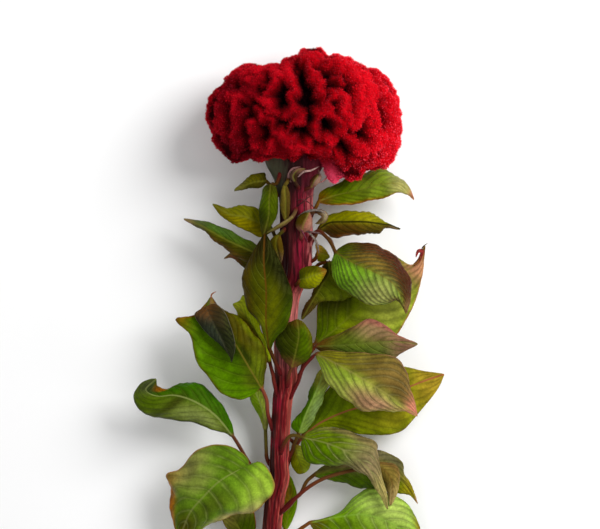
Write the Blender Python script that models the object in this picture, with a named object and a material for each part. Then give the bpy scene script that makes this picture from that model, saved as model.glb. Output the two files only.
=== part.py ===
"""A cut cockscomb celosia that lies on a flat surface, seen from above.

+X is to the right, +Y runs from the cut stem towards the crest and +Z is up. The origin is the
middle of the flat spot under the crest. Points in the tables are millimetres.
"""

import math
import random

import bmesh
import bpy
import numpy as np
from mathutils import Vector

MM = 0.001
GAP = 0.4

# The crest
CREST_MIDDLE = Vector((0.0, 0.0, 38.0))
CREST_HALF_WIDTH = 61.0
CREST_HALF_LENGTH = 36.0
CREST_HALF_DEPTH = 39.5
CREST_SQUARENESS = 0.86
CREST_EDGE_POWER = 3
CREST_DETAIL = 6
CREST_FACES_KEPT = 0.355
RIBBON_HALF_WIDTH = 5.2
RIBBON_DEPTH = 8.5
PIT_DEPTH = 8.0
PIT_SPREAD = 1.35

# Seeded folds cover the back, and the front wherever the nearest drawn ridge is too far off
FOLD_WAVELENGTH = 27.0
FOLD_WAVES = 18
FOLD_SEED = 7
FOLD_FLATTEST = 0.12
FOLD_RELIEF = 0.8
FILL_STARTS = 6.5
FILL_BLEND = 2.5
FRONT_STARTS = 0.12
FRONT_BLEND = 0.3
RIM_STARTS = 0.93
RIM_RELIEF = 0.35
REST_SPOT_REACH = 17.0
REST_SPOT_BLEND = 6.0

# A small lobe that hangs beside the neck: where it starts, which way it grows and its radius
LOBE_ROOT = (16.5, -33.0, 5.0)
LOBE_GROWTH = (1.0, -11.0, 1.5)
LOBE_RADIUS = 6.0

# Points of the crest's outline, seen from above
CREST_OUTLINE = [
    (64.4, -8.5), (63, 0), (61, 8), (58, 14.5), (54, 21), (49, 26), (45, 28.5), (41.5, 28), (37, 31.5),
    (32, 32.5), (28, 36), (21.5, 37.5), (16, 36), (13, 36.5), (11.5, 41), (8.5, 43), (2, 43), (-2, 40.5),
    (-3.5, 37), (-10, 35), (-15, 33), (-15.5, 30), (-19, 30.5), (-28, 30), (-33, 30.5), (-40, 30),
    (-45.5, 27.5), (-50, 23), (-53, 19), (-59, 12.5), (-62.5, 8.5), (-64, 1.5), (-64.5, -3.5),
    (-62.5, -8.5), (-59, -14.5), (-60.5, -18), (-58, -22), (-54.5, -26), (-50, -31), (-47, -33),
    (-39.5, -31), (-38.5, -28.5), (-34.5, -31), (-29.5, -33), (-26, -31), (-16.5, -30), (-13, -32.5),
    (0, -33), (11, -31), (21.5, -34.5), (24, -42.5), (30.5, -45), (36, -43.5), (39.5, -38.5),
    (47.5, -36.5), (54, -36.5), (57, -33), (60.5, -28), (62.5, -21.5), (61, -17), (63.5, -11.5),
]

# Ridges of the velvet ribbon on the upper side, seen from above
CREST_RIDGES = [
    [(-32, -3), (-23, -12), (-16, -20)],
    [(-39, 13), (-28, 7), (-20, -2), (-15, -5), (-9, 1), (-3, -3), (-1, -8), (-11, -12)],
    [(-11, -12), (-13, -18), (-12, -25), (-8, -29), (-3, -25), (5, -26), (14, -29)],
    [(5, -7), (6, -15), (10, -20), (21, -23)],
    [(5, -7), (12, -3), (18, -4), (23, -14), (25, -19)],
    [(17, 1), (18, 8), (23, 11), (27, 8), (28, 1), (29, -10)],
    [(3, 27), (8, 22), (11, 18), (12, 11), (9, -1)],
    [(0, 36), (10, 37), (16, 33), (26, 30), (34, 24), (40, 21), (44, 11), (47, -5), (46, -14)],
    [(29, -21), (37, -28), (42, -29), (51, -20)],
    [(-36, -10), (-34, -18), (-34, -28)],
    [(-47, 5), (-47, -8), (-46, -25)],
    [(-57, 3), (-56, -10), (-54, -20)],
    [(-58, 10), (-50, 9), (-43, 8), (-39, 13)],
    [(-28, 8), (-24, 14), (-21, 21), (-13, 26)],
    [(-13, 26), (-8, 18), (-7, 11), (-9, 5)],
    [(-52, 17), (-45, 23), (-35, 26), (-24, 28), (-13, 30)],
    [(-43, 19), (-34, 17), (-31, 20)],
    [(52, 21), (58, 6), (60, -8), (58, -21), (52, -32)],
    [(37, 12), (38, -2), (35, -12)],
    [(-28, -26), (-21, -28), (-15, -28)],
    [(-24, -20), (-21, -27)],
    [(35, -36), (43, -38), (51, -34)],
    [(24, -32), (29, -38)],
]

# Dark pits between the ridges: place, half sizes and how deep, from 0 to 1
CREST_PITS = [
    (3, 4, 6, 5, 1.0), (3, -7, 2.2, 6, 0.9), (-16, 5, 3, 6.5, 1.0), (-4, -16, 4.5, 3.2, 1.0),
    (16, -14, 5, 3.6, 0.9), (-28, -16, 4, 5, 0.8), (9, -24, 3.3, 2, 0.7), (25, -25, 3.3, 4, 0.8),
    (29, -33, 3, 5, 0.6), (-38, -3, 4, 3, 0.8), (16, 24, 5, 4.5, 0.8), (19, 16, 4, 4, 0.8),
    (-27, 19, 2.6, 2.6, 0.6), (-46, 16, 2.6, 2.6, 0.6), (30, 12, 3.3, 2.6, 0.6),
    (-17, -10, 3.3, 2.8, 0.8), (-2, 18, 3.3, 8, 0.6), (-30, 12, 2, 2, 0.5), (-39, 19, 2, 2, 0.4),
    (21, 1, 2.2, 4, 0.6), (32, 0, 2, 3.3, 0.6), (15, 8, 2, 5, 0.6), (40, -14, 2, 4, 0.5),
    (51, 0, 2, 7, 0.5), (-41, -20, 2.6, 6, 0.6), (-52, -5, 2, 8, 0.4),
]

# Stem sections from the crest to the cut end: y, x, half width and half depth
STEM_SECTIONS = [
    (-27, -6.5, 20.0, 10.0), (-34, -6.5, 18.6, 10.0), (-41, -6.4, 15.0, 9.4),
    (-48, -6.2, 12.2, 9.0), (-60, -5.9, 10.6, 8.5), (-96, -5.9, 10.2, 8.0),
    (-110, -8.0, 9.2, 7.6), (-124, -12.0, 8.0, 7.2), (-155, -13.0, 7.2, 6.8),
    (-177, -12.6, 7.2, 6.6), (-190, -14.8, 6.3, 6.2), (-226, -16.9, 6.0, 6.0),
    (-240, -16.6, 6.3, 6.2), (-256, -20.2, 6.2, 6.1), (-290, -23.0, 6.3, 6.3),
    (-335, -26.0, 6.4, 6.4),
]
NECK_HEIGHT = 38.0
NECK_Y = -35.0
CUT_Y = -335.0
STEM_SIDES = 14
STEM_STEP = 15.0
SOCKET_START = -62.0
STEM_FLUTES = 7
FLUTE_DEPTH = 0.045
CUT_HEIGHT = 6.4 * (1 + FLUTE_DEPTH)

# The leaves
STALK_RADIUS = 1.2
STALK_RISE = 1.2
STALK_LEAN = 0.4
STALK_RINGS = 3
STALK_SIDE_ANGLE = 15.0
BLADE_BASE_SHARE = 0.9
LEAF_RINGS = 11
LEAF_COLUMNS = 2
WAVE_SHIFT = 0.25
BRACT_RINGS = 6
RIB_THICKNESS = 2.2
TIP_THICKNESS = 0.9
BLADE_THICKNESS = 0.8
MARGIN_THICKNESS = 0.7
TIP_HALF_WIDTH = 0.5

# Each leaf: where its stalk meets the stem (y, degrees round it from +X over +Z), the points of
# its stalk, its midrib and its two edges, how far each half bulges, and its edge waves (height, count)
LEAVES = {
    "leaf_left_01": dict(
        at=(-50, 172),
        rib=[(-25, -45, 37), (-34, -46, 38), (-46, -51, 34)],
        one=[(-27, -39, 31), (-36, -42, 33), (-42, -47, 33)],
        two=[(-29, -49, 36), (-36, -49.5, 36), (-42, -50.5, 34)],
        bulge=(0.1, 0.1), wave=(0.5, 2),
    ),
    "leaf_left_02": dict(
        at=(-46, 146),
        rib=[(-22, -47, 45), (-23, -57, 46), (-23.5, -68, 44), (-27, -81, 40)],
        one=[(-27, -50, 42), (-29, -60, 42), (-29.5, -68, 41), (-28.5, -76, 40)],
        two=[(-18.5, -50, 45), (-17.5, -60, 45), (-18.5, -68, 43), (-24, -77, 41)],
        bulge=(0.1, 0.1), wave=(0.6, 2),
    ),
    "leaf_left_03": dict(
        at=(-84, 178),
        rib=[(-21, -77, 32), (-29, -72.5, 33), (-39, -68, 36), (-49, -66.5, 37), (-60, -60, 36)],
        one=[(-30, -64, 29), (-39, -60.5, 32), (-49, -62.5, 34), (-55, -61, 35)],
        two=[(-29, -81, 30), (-36, -78, 32), (-42, -75, 33), (-49, -71.5, 35), (-55, -66.5, 35)],
        bulge=(0.12, 0.12), wave=(0.8, 3),
    ),
    "leaf_left_04": dict(
        at=(-102, 182),
        rib=[(-24, -96, 31), (-36, -90, 33), (-49, -84, 34), (-60, -78, 34), (-69, -73, 33),
             (-79, -69.5, 31)],
        one=[(-31, -87, 29), (-42, -81, 31), (-49, -77, 32), (-59, -73, 32), (-66, -71, 32)],
        two=[(-37, -97.5, 29), (-42, -95.5, 30), (-49, -91, 31), (-55, -86.5, 31), (-60, -82.5, 32),
             (-66, -77, 32)],
        bulge=(0.12, 0.12), wave=(0.8, 4),
    ),
    "leaf_left_05": dict(
        at=(-107, 200),
        rib=[(-22, -105, 25), (-36, -100, 24), (-47, -92.5, 25), (-53, -95, 24)],
        one=[(-33, -97, 23), (-44, -89.5, 25)],
        two=[(-37, -103, 23), (-47, -95, 24)],
        bulge=(0.1, 0.1), wave=(0.4, 2), rings=BRACT_RINGS,
    ),
    "leaf_left_06": dict(
        at=(-166, 122),
        rib=[(-23, -154, 37), (-25, -136, 44), (-25, -116, 48), (-26.5, -97, 48), (-26, -79, 44)],
        one=[(-28, -140, 40), (-36, -129, 42), (-40, -116, 43), (-40, -106, 44), (-37, -97.5, 45),
             (-31, -87, 44)],
        two=[(-19, -147, 41), (-12, -139, 45), (-9, -129, 47), (-8, -119, 47), (-11, -109, 46),
             (-16, -97.5, 46), (-22, -85, 45)],
        bulge=(0.12, 0.12), wave=(1.2, 4),
    ),
    "leaf_left_07": dict(
        at=(-180, 140),
        stalk=[(-21, -171, 28)],
        rib=[(-23, -163, 29), (-28, -149, 31), (-36, -136, 33), (-42, -128, 34), (-47, -125, 33)],
        one=[(-23, -150, 32), (-28.5, -142, 35), (-31, -132, 37), (-36, -122, 37), (-40, -119, 35),
             (-42.5, -122.5, 34)],
        two=[(-31, -156, 27), (-39, -146, 29), (-43, -136, 31), (-44, -130, 32)],
        bulge=(0.1, 0.1), wave=(0.8, 3),
    ),
    "leaf_left_08": dict(
        at=(-203, 168),
        stalk=[(-25, -188, 27)],
        rib=[(-28, -180, 32), (-36, -166, 39), (-43.5, -153, 42), (-53, -138, 42), (-58, -129, 40),
             (-61, -120, 36)],
        one=[(-36, -185, 31), (-44, -187, 33), (-54, -183, 36), (-62, -173, 38), (-69, -164.5, 39),
             (-72, -155, 40), (-75, -144, 40), (-84, -134.5, 38), (-72, -132, 35), (-65, -125, 35)],
        two=[(-26, -170, 34), (-25, -158, 36), (-29, -149, 37), (-35, -142, 38), (-43, -132.5, 38),
             (-50, -130.5, 38), (-57, -125, 37)],
        bulge=(-0.16, 0.08), wave=(1.2, 5),
    ),
    "leaf_left_09": dict(
        at=(-232, 195),
        stalk=[(-25.5, -221, 17)],
        rib=[(-26, -208, 17), (-28, -195, 18), (-32, -184, 18), (-36, -174, 18)],
        one=[(-29, -201.5, 17), (-33, -194, 17), (-36.5, -186, 17)],
        two=[(-24, -200, 16), (-25, -190, 16), (-29, -181, 17)],
        bulge=(0.1, 0.1), wave=(0.7, 3), rings=BRACT_RINGS,
    ),
    "leaf_left_10": dict(
        at=(-246, 195),
        stalk=[(-32, -236.5, 18), (-38.5, -226.5, 21), (-43, -218, 26)],
        rib=[(-47, -211, 30), (-58.5, -197, 35), (-71.5, -188, 38), (-84, -184, 39),
             (-95.5, -184.5, 39), (-103, -180, 42), (-96, -173, 48)],
        one=[(-49, -200, 30), (-58, -186, 31), (-68, -177.5, 32), (-79, -176, 33), (-89, -180, 36),
             (-95, -178, 44)],
        two=[(-52, -209, 29), (-62, -206, 31), (-75, -201.5, 32), (-86.5, -200, 32), (-99, -198, 34),
             (-108.5, -192, 36), (-111, -184, 40), (-106.5, -176, 45), (-100, -173, 47)],
        bulge=(0.1, 0.1), wave=(0.9, 4),
    ),
    "leaf_left_11": dict(
        at=(-243, 158),
        stalk=[(-28, -237, 24)],
        rib=[(-36, -231, 31), (-45.5, -234, 36), (-56.5, -240.5, 38), (-66, -250, 36), (-75, -261, 31),
             (-82, -278, 22)],
        one=[(-38, -225, 31), (-43.5, -220, 32), (-51, -217, 33), (-60.5, -216.5, 33), (-70, -220, 32),
             (-76, -226, 31), (-82.5, -233, 30), (-90, -236, 28), (-88, -246, 27), (-88, -259, 25),
             (-86, -270, 23)],
        two=[(-30.5, -228, 30), (-24, -233, 29), (-20, -242.5, 28), (-23, -251, 26), (-30.5, -259, 25),
             (-40, -262, 25), (-50, -264, 26), (-60, -268, 26), (-69, -273, 24)],
        bulge=(0.1, 0.12), wave=(1.2, 5),
    ),
    "leaf_left_12": dict(
        at=(-301, 190),
        stalk=[(-34, -295, 10)],
        rib=[(-37, -288, 11), (-42, -276, 13), (-48, -264, 14), (-54, -252, 13), (-59, -240, 12)],
        one=[(-45, -283, 10), (-52.5, -272, 12), (-57, -260, 12), (-60, -249, 12)],
        two=[(-33.5, -279, 11), (-32.5, -270, 13), (-35, -259, 14), (-44, -248, 13)],
        bulge=(0.1, 0.1), wave=(0.9, 3),
    ),
    "leaf_right_01": dict(
        at=(-63, 12),
        rib=[(9, -58, 36), (19.5, -54.5, 32), (34, -51, 28), (49, -47, 26), (62, -47, 26),
             (71.5, -56.5, 24)],
        one=[(10, -52, 33), (19.5, -47, 25), (29, -42, 19), (40, -38, 15), (50.5, -36.4, 15),
             (60.5, -41, 19), (68, -48.5, 23)],
        two=[(13, -60, 35), (26, -60.5, 33), (36, -59, 31), (47.5, -56.5, 29), (54, -55, 28),
             (61, -52, 27), (67, -53.5, 25)],
        bulge=(0.08, 0.1), wave=(0.9, 4),
    ),
    "leaf_right_02": dict(
        at=(-81, 4),
        rib=[(9, -76, 36), (16, -72, 38.5), (26, -71.5, 40.5), (39, -71.5, 40.5), (51, -73, 37),
             (56.5, -73.5, 35), (62, -76, 33)],
        one=[(13, -69.5, 35), (18, -66, 34), (27, -64.7, 34), (34.5, -64.4, 34), (42, -65.7, 34),
             (49, -69, 34), (53, -72.5, 35)],
        two=[(13, -78, 33), (18, -81.3, 32), (26, -80.6, 32), (34, -79.3, 32), (47.5, -78.6, 33),
             (52, -75.4, 34)],
        bulge=(0.14, 0.14), wave=(0.6, 4),
    ),
    "leaf_right_03": dict(
        at=(-79, 28),
        stalk=[(10, -78, 43), (16, -84, 46)],
        rib=[(19.5, -91, 46), (30.5, -97.5, 49), (43.5, -103, 50), (56, -110.5, 46), (62.5, -120, 40),
             (66, -131, 33)],
        one=[(23, -88, 45), (30.5, -85, 45), (44, -86, 45), (52.5, -90, 44), (60, -95.5, 43),
             (65, -103, 41), (69, -112, 39), (68, -123, 35)],
        two=[(17, -98, 43), (18, -106, 41), (21.5, -114, 40), (27, -116, 40), (34.5, -122, 39),
             (43.5, -125, 39), (52, -125, 38), (58, -121.5, 38), (63, -126, 35)],
        bulge=(0.1, 0.1), wave=(1.1, 5),
    ),
    "leaf_right_04": dict(
        at=(-97, 12),
        rib=[(8, -92, 37), (12, -92, 38), (16, -94, 39)],
        one=[(7, -86, 37), (12, -88, 38)],
        two=[(8.5, -97, 36), (13, -96.5, 38)],
        bulge=(0.1, 0.1), wave=(0.4, 2), rings=BRACT_RINGS,
    ),
    "leaf_right_05": dict(
        at=(-105, 350),
        stalk=[(9, -99, 29)],
        rib=[(15, -97, 31), (16, -105, 32), (11, -113, 32), (5, -123, 31), (-2, -135, 30)],
        one=[(23, -98, 30), (31, -105, 29), (33, -117, 28), (25, -122.5, 28), (12, -122.5, 29),
             (3, -130.5, 29)],
        two=[(11, -101, 29), (8, -112, 29), (3, -121.5, 29), (-1.5, -129, 29)],
        bulge=(0.12, 0.1), wave=(0.8, 4),
    ),
    "leaf_right_06": dict(
        at=(-112, 68),
        rib=[(-3, -109, 41), (3, -107, 43), (8.5, -105, 43), (14, -103, 41)],
        one=[(-3, -102.5, 41), (4, -100, 42), (10, -101, 42)],
        two=[(-3.5, -113.5, 40), (2, -115, 40), (9, -112, 41)],
        bulge=(0.14, 0.14), wave=(0.6, 2), rings=BRACT_RINGS,
    ),
    "leaf_right_07": dict(
        at=(-163, 345),
        stalk=[(0, -156, 21)],
        rib=[(7, -151, 20), (19.5, -142, 21), (36, -127, 22), (52, -114, 24), (65, -104, 27),
             (73.5, -97.5, 30), (78, -87, 33)],
        one=[(8, -141, 18), (8.5, -124, 17), (16, -111, 17), (29, -98, 19), (42, -91, 22),
             (52, -89, 24), (61, -95, 26), (69, -100, 28), (74, -96, 31)],
        two=[(20, -152, 18), (40, -151, 19), (58, -147, 20), (66.5, -135, 22), (72.5, -122, 25),
             (76.5, -107, 28), (77.5, -97, 31)],
        bulge=(0.08, 0.08), wave=(1.2, 5),
    ),
    "leaf_right_08": dict(
        at=(-173, 12),
        stalk=[(0, -161, 26)],
        rib=[(7, -152.5, 28), (19.5, -152, 31), (32.5, -151, 32), (49, -149.5, 32), (62, -149.5, 30),
             (73.5, -151, 28)],
        one=[(13, -148, 28), (23, -144, 30), (32.5, -139, 32), (42, -134.5, 33), (52, -138.5, 32),
             (60.5, -145, 30)],
        two=[(13, -157, 26), (26, -160, 27), (42, -164, 27), (54, -162, 28), (63, -157, 28)],
        bulge=(0.1, 0.1), wave=(1.0, 4),
    ),
    "leaf_right_09": dict(
        at=(-182, 38),
        stalk=[(-1, -166, 33)],
        rib=[(7, -157, 36), (16, -161, 40), (29, -168, 44), (45.5, -178, 45), (60.5, -188, 42),
             (73, -197.5, 36)],
        one=[(16, -155, 38), (29, -156, 40), (45.5, -157, 40), (60, -160, 39), (65.5, -169, 38),
             (69, -181, 37)],
        two=[(8.5, -162, 35), (11.5, -170, 35), (15.5, -177, 36), (21.5, -183, 37), (29, -188, 38),
             (34.5, -193, 38), (43.5, -194, 39), (55, -194, 38), (65, -194.5, 37)],
        bulge=(0.1, 0.1), wave=(1.2, 5),
    ),
    "leaf_right_10": dict(
        at=(-229, 318),
        stalk=[(-7, -221, 10.5)],
        rib=[(-2, -213, 12), (10, -203.5, 16), (26, -196, 18), (43.5, -190.5, 20), (62, -182, 22),
             (78, -175.5, 23), (91, -171, 24)],
        one=[(4.5, -200, 12), (13, -184, 14), (26, -171, 16), (42, -166, 18), (63, -166, 20),
             (78, -169, 22)],
        two=[(4.5, -212, 12), (16, -206, 15), (26, -208, 16), (39, -211, 17), (52, -211, 18),
             (63, -209, 19), (70, -202, 20), (80, -190, 22), (87.5, -180, 23)],
        bulge=(0.08, 0.08), wave=(1.2, 6),
    ),
    "leaf_right_11": dict(
        at=(-218, 84),
        stalk=[(-8.5, -210.6, 29)],
        rib=[(-1.3, -212, 30), (13, -215, 34), (26, -220, 36), (37, -228, 35), (46, -238, 32),
             (54, -259, 29)],
        one=[(3, -208, 30), (13, -205, 31), (26, -207, 32), (37, -211, 32), (46, -215, 31),
             (47.5, -221, 31), (49, -233, 31), (53, -247, 30)],
        two=[(-2.6, -217, 29), (-0.6, -225, 28), (4.5, -229, 28), (16, -230, 30), (26, -230, 31),
             (34, -233, 31), (41, -238, 30), (48, -248, 29)],
        bulge=(0.1, 0.1), wave=(1.1, 5),
    ),
    "leaf_right_12": dict(
        at=(-257, 15),
        stalk=[(-3, -250, 19), (1, -242, 18)],
        rib=[(6, -237.5, 18), (19.5, -234, 19), (32.5, -233, 19), (47.5, -234, 19), (59, -238, 18),
             (67, -245, 15), (74.5, -257, 12)],
        one=[(12, -232, 17), (23, -227.5, 17), (36, -223, 18), (47.5, -221, 18), (56.5, -224, 19),
             (64, -229, 19), (65, -236.6, 17), (70, -244, 15)],
        two=[(11, -240, 16), (23, -242.5, 14), (36, -246.5, 12), (47.5, -248.5, 12), (57, -249.5, 12),
             (66, -250.5, 12), (71, -253, 12)],
        bulge=(0.08, 0.08), wave=(0.9, 5),
    ),
    "leaf_right_13": dict(
        at=(-262, 40),
        stalk=[(-6, -252, 23.5), (3, -244.5, 24), (13, -239, 24), (28, -234.5, 25)],
        rib=[(42, -232, 26), (51, -233, 28), (56.5, -240, 28), (57, -248, 26), (56, -257, 24)],
        one=[(48, -228.5, 26), (59, -230, 26), (62, -238, 26), (60.5, -248, 25)],
        two=[(46, -236, 25), (51, -240, 26), (54, -248, 25)],
        bulge=(0.1, 0.1), wave=(0.5, 3), rings=BRACT_RINGS + 2,
    ),
    "leaf_right_14": dict(
        at=(-286, 12),
        stalk=[(-8, -277, 16)],
        rib=[(3, -269, 18), (23, -264.5, 22), (39, -263, 24), (55, -268, 22), (66, -276, 18),
             (77, -287, 12)],
        one=[(13, -267, 18), (24, -261.5, 18), (32, -253, 18), (41, -246.5, 19), (53, -249, 19),
             (64, -254, 18), (71, -262, 16), (75.5, -272, 14)],
        two=[(8.5, -277, 15), (19.5, -286, 14), (36, -292.5, 13), (52, -295, 12), (67, -292.5, 11)],
        bulge=(0.12, 0.1), wave=(1.1, 5),
    ),
    "leaf_right_15": dict(
        at=(-223, 5),
        stalk=[(-7.5, -218, 21)],
        rib=[(-4, -210, 22), (0.6, -197, 25), (6.5, -184, 27), (11, -173, 27), (14, -165, 26)],
        one=[(-9, -205, 22), (-6, -199.5, 23), (0, -193, 24), (3, -182.6, 25), (8, -171, 25)],
        two=[(2, -207, 20), (8.5, -195, 22), (13, -184, 23), (16, -174, 24)],
        bulge=(0.1, 0.1), wave=(0.9, 4),
    ),
    "leaf_right_16": dict(
        at=(-214, 340),
        rib=[(-7, -218, 16), (-5, -225, 16), (-3, -231, 15), (-1, -237, 14)],
        one=[(0, -220, 15), (3.5, -227.5, 14), (2.5, -234, 13)],
        two=[(-9, -225, 14), (-8.5, -232, 13), (-5, -237, 13)],
        bulge=(0.1, 0.1), wave=(0.5, 2), rings=BRACT_RINGS,
    ),
    "leaf_right_17": dict(
        at=(-281, 320),
        rib=[(-13, -275, 6), (-11, -265, 5), (-10, -254, 5), (-11, -244, 5.5), (-12, -236.5, 6.5)],
        one=[(-8, -268, 4), (-5, -256, 4), (-7.5, -244, 5)],
        two=[(-17, -266, 3), (-17, -254, 3), (-15.5, -243, 4)],
        bulge=(0.08, 0.08), wave=(0.5, 3), rings=BRACT_RINGS + 2,
    ),
    "leaf_right_18": dict(
        at=(-174, 80),
        rib=[(-8.5, -166, 36), (-6, -156, 39), (-4, -145, 41), (-5, -134.5, 41)],
        one=[(-15, -159, 35), (-19, -150, 35.5), (-16, -140, 37)],
        two=[(0.6, -162, 36), (4.5, -155, 38), (4, -145, 39), (-0.6, -137, 40)],
        bulge=(0.12, 0.12), wave=(0.8, 3),
    ),
    "bract_01": dict(
        at=(-44, 112),
        rib=[(-13, -48, 47), (-12.5, -56, 47.5), (-12.5, -65, 46), (-12, -72, 44.5)],
        one=[(-15.5, -54, 47), (-15.5, -64, 45.5)],
        two=[(-10, -54, 47), (-10, -64, 45.5)],
        bulge=(0.15, 0.15), wave=(0.3, 2), rings=BRACT_RINGS,
    ),
    "bract_02": dict(
        at=(-64, 88),
        rib=[(-8, -68, 48), (-13, -72, 49.5), (-19, -75.5, 49), (-24.5, -78.5, 48)],
        one=[(-12, -70.5, 49), (-18, -74, 49)],
        two=[(-13, -73.5, 48), (-19.5, -77, 48)],
        bulge=(0.15, 0.15), wave=(0.2, 2), rings=BRACT_RINGS,
    ),
    "bract_03": dict(
        at=(-77, 142),
        rib=[(-17, -80, 41), (-18.5, -84, 41), (-17.5, -91, 39), (-15.6, -98, 38)],
        one=[(-22.5, -84, 39), (-20, -91, 38)],
        two=[(-15, -84, 41), (-14, -91, 39.5)],
        bulge=(0.15, 0.15), wave=(0.3, 2), rings=BRACT_RINGS,
    ),
    "bract_04": dict(
        at=(-66, 40),
        rib=[(7, -65, 42), (12, -66, 43), (12, -70, 44), (7, -73, 45)],
        one=[(9, -63.5, 41), (14.5, -66.5, 40), (13, -71.5, 42)],
        two=[(8.5, -66.5, 45), (10.5, -68, 46), (9, -70.5, 46)],
        bulge=(0.1, 0.1), wave=(0.2, 2), rings=BRACT_RINGS,
    ),
    "bract_05": dict(
        at=(-82, 68),
        rib=[(-2, -78, 44), (-1, -73, 46), (1, -69, 46.5), (2.5, -65, 46)],
        one=[(-6, -74, 45), (-4, -68, 46)],
        two=[(3, -77, 43), (4.5, -71, 44)],
        bulge=(0.12, 0.12), wave=(0.3, 2), rings=BRACT_RINGS,
    ),
    "bract_06": dict(
        at=(-49, 78),
        rib=[(-6.5, -45.5, 50.5), (-7.5, -42, 51.5), (-5, -39, 51.5), (0, -37.5, 50.5)],
        one=[(-9.5, -42, 51), (-6, -37.5, 51)],
        two=[(-5, -43, 51), (-3, -40, 51)],
        bulge=(0.12, 0.12), wave=(0.2, 2), rings=BRACT_RINGS,
    ),
    "bract_07": dict(
        at=(-50, 52),
        rib=[(4, -49, 47), (6, -45, 49), (8, -42.5, 49), (9.5, -41, 48)],
        one=[(3.5, -45, 49), (6.5, -41.5, 49)],
        two=[(8, -47.5, 47), (10.5, -43, 47)],
        bulge=(0.15, 0.15), wave=(0.3, 2), rings=BRACT_RINGS,
    ),
}


def clear_scene():
    for item in list(bpy.data.objects):
        bpy.data.objects.remove(item, do_unlink=True)


def material(name, colour, roughness):
    made = bpy.data.materials.new(name)
    made.use_nodes = True
    surface = made.node_tree.nodes["Principled BSDF"]
    surface.inputs["Base Color"].default_value = (*colour, 1.0)
    surface.inputs["Roughness"].default_value = roughness
    surface.inputs["Metallic"].default_value = 0.0
    return made


def spline(points, count, steps=12):
    """Reads count points, evenly spread by length, from a smooth curve through the points."""
    given = np.array(points, float)
    ends = np.vstack([2 * given[0] - given[1], given, 2 * given[-1] - given[-2]])
    fine = []
    for a, b, c, d in zip(ends, ends[1:], ends[2:], ends[3:]):
        square, cube = 2 * a - 5 * b + 4 * c - d, 3 * b - a - 3 * c + d
        for t in np.arange(steps) / steps:
            fine.append(0.5 * (2 * b + (c - a) * t + square * t**2 + cube * t**3))
    fine = np.array([*fine, given[-1]])
    length = np.concatenate([[0], np.cumsum(np.linalg.norm(np.diff(fine, axis=0), axis=1))])
    wanted = np.linspace(0, length[-1], count)
    return np.stack([np.interp(wanted, length, fine[:, k]) for k in range(given.shape[1])], axis=1)


def unit(v):
    return v / max(float(np.linalg.norm(v)), 1e-9)


def along(points):
    """The direction of a row of points at each of them."""
    return np.array([unit(v) for v in np.gradient(points, axis=0)])


def new_object(name, mesh, collection, finish):
    item = bpy.data.objects.new(name, mesh)
    collection.objects.link(item)
    mesh.materials.append(finish)
    mesh.shade_smooth()
    return item


def loft(name, rings, across):
    """Joins rings of equal count into one closed mesh. Each ring runs over the top, then back below,
    with across points on each, and both faces are split along the same diagonals."""
    count = len(rings[0])
    points = [tuple(p * MM) for ring in rings for p in ring]
    faces = []
    for i in range(len(rings) - 1):
        here, there = i * count, (i + 1) * count
        for j in range(count):
            k = (j + 1) % count
            a, b, c, d = here + j, here + k, there + k, there + j
            if j < across:
                faces += [(a, b, c), (a, c, d)]
            else:
                faces += [(a, b, d), (b, c, d)]
    last = (len(rings) - 1) * count
    for j in range(across - 1):
        below = count - 1 - j
        faces += [(j, below, below - 1), (j, below - 1, j + 1)]
        faces += [(last + j, last + below - 1, last + below), (last + j, last + j + 1, last + below - 1)]
    mesh = bpy.data.meshes.new(name)
    mesh.from_pydata(points, [], faces)
    mesh.validate()
    build = bmesh.new()
    build.from_mesh(mesh)
    bmesh.ops.recalc_face_normals(build, faces=build.faces)
    build.to_mesh(mesh)
    build.free()
    return mesh


def stem_section(y):
    """The stem's middle, half width and half depth at y."""
    table = np.array(STEM_SECTIONS)[::-1]
    x, wide, deep = (float(np.interp(y, table[:, 0], table[:, k])) for k in (1, 2, 3))
    share = (NECK_Y - min(y, NECK_Y)) / (NECK_Y - CUT_Y)
    return np.array([x, y, NECK_HEIGHT + (CUT_HEIGHT - NECK_HEIGHT) * share]), wide, deep


def stem_radius(wide, deep, angle):
    """Distance from the stem's middle to its fluted surface, at an angle from +X over +Z."""
    plain = wide * deep / math.hypot(deep * math.cos(angle), wide * math.sin(angle))
    return plain * (1 + FLUTE_DEPTH * math.cos(STEM_FLUTES * (angle + math.pi / 2)))


def stem_rings(grow, start=CUT_Y):
    """Rings of the stem from its cut end, or from start, to the crest, grown outwards all round."""
    table = [section[0] for section in STEM_SECTIONS[::-1]]
    ys = [CUT_Y]
    for low, high in zip(table, table[1:]):
        ys += list(np.linspace(low, high, math.ceil((high - low) / STEM_STEP) + 1)[1:])
    ys = [y for y in ys if y >= start]
    ys[-1] += grow
    rings = []
    for y in ys:
        middle, wide, deep = stem_section(y)
        ring = []
        for j in range(STEM_SIDES * 2):
            angle = 2 * math.pi * j / (STEM_SIDES * 2)
            reach = stem_radius(wide, deep, angle) + grow
            ring.append(middle + reach * np.array([math.cos(angle), 0, math.sin(angle)]))
        rings.append(ring)
    return rings


def make_stem(collection):
    mesh = loft("stem", stem_rings(0), STEM_SIDES)
    return new_object("stem", mesh, collection, material("stem_red", (0.16, 0.01, 0.02), 0.45))


def stem_surface(y, angle):
    middle, wide, deep = stem_section(y)
    return middle + stem_radius(wide, deep, angle) * np.array([math.cos(angle), 0, math.sin(angle)])


def clearance(point):
    """How far a point is outside the stem, level with its y."""
    middle, wide, deep = stem_section(point[1])
    angle = math.atan2(point[2] - middle[2], point[0] - middle[0])
    return math.hypot(point[2] - middle[2], point[0] - middle[0]) - stem_radius(wide, deep, angle)


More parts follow.
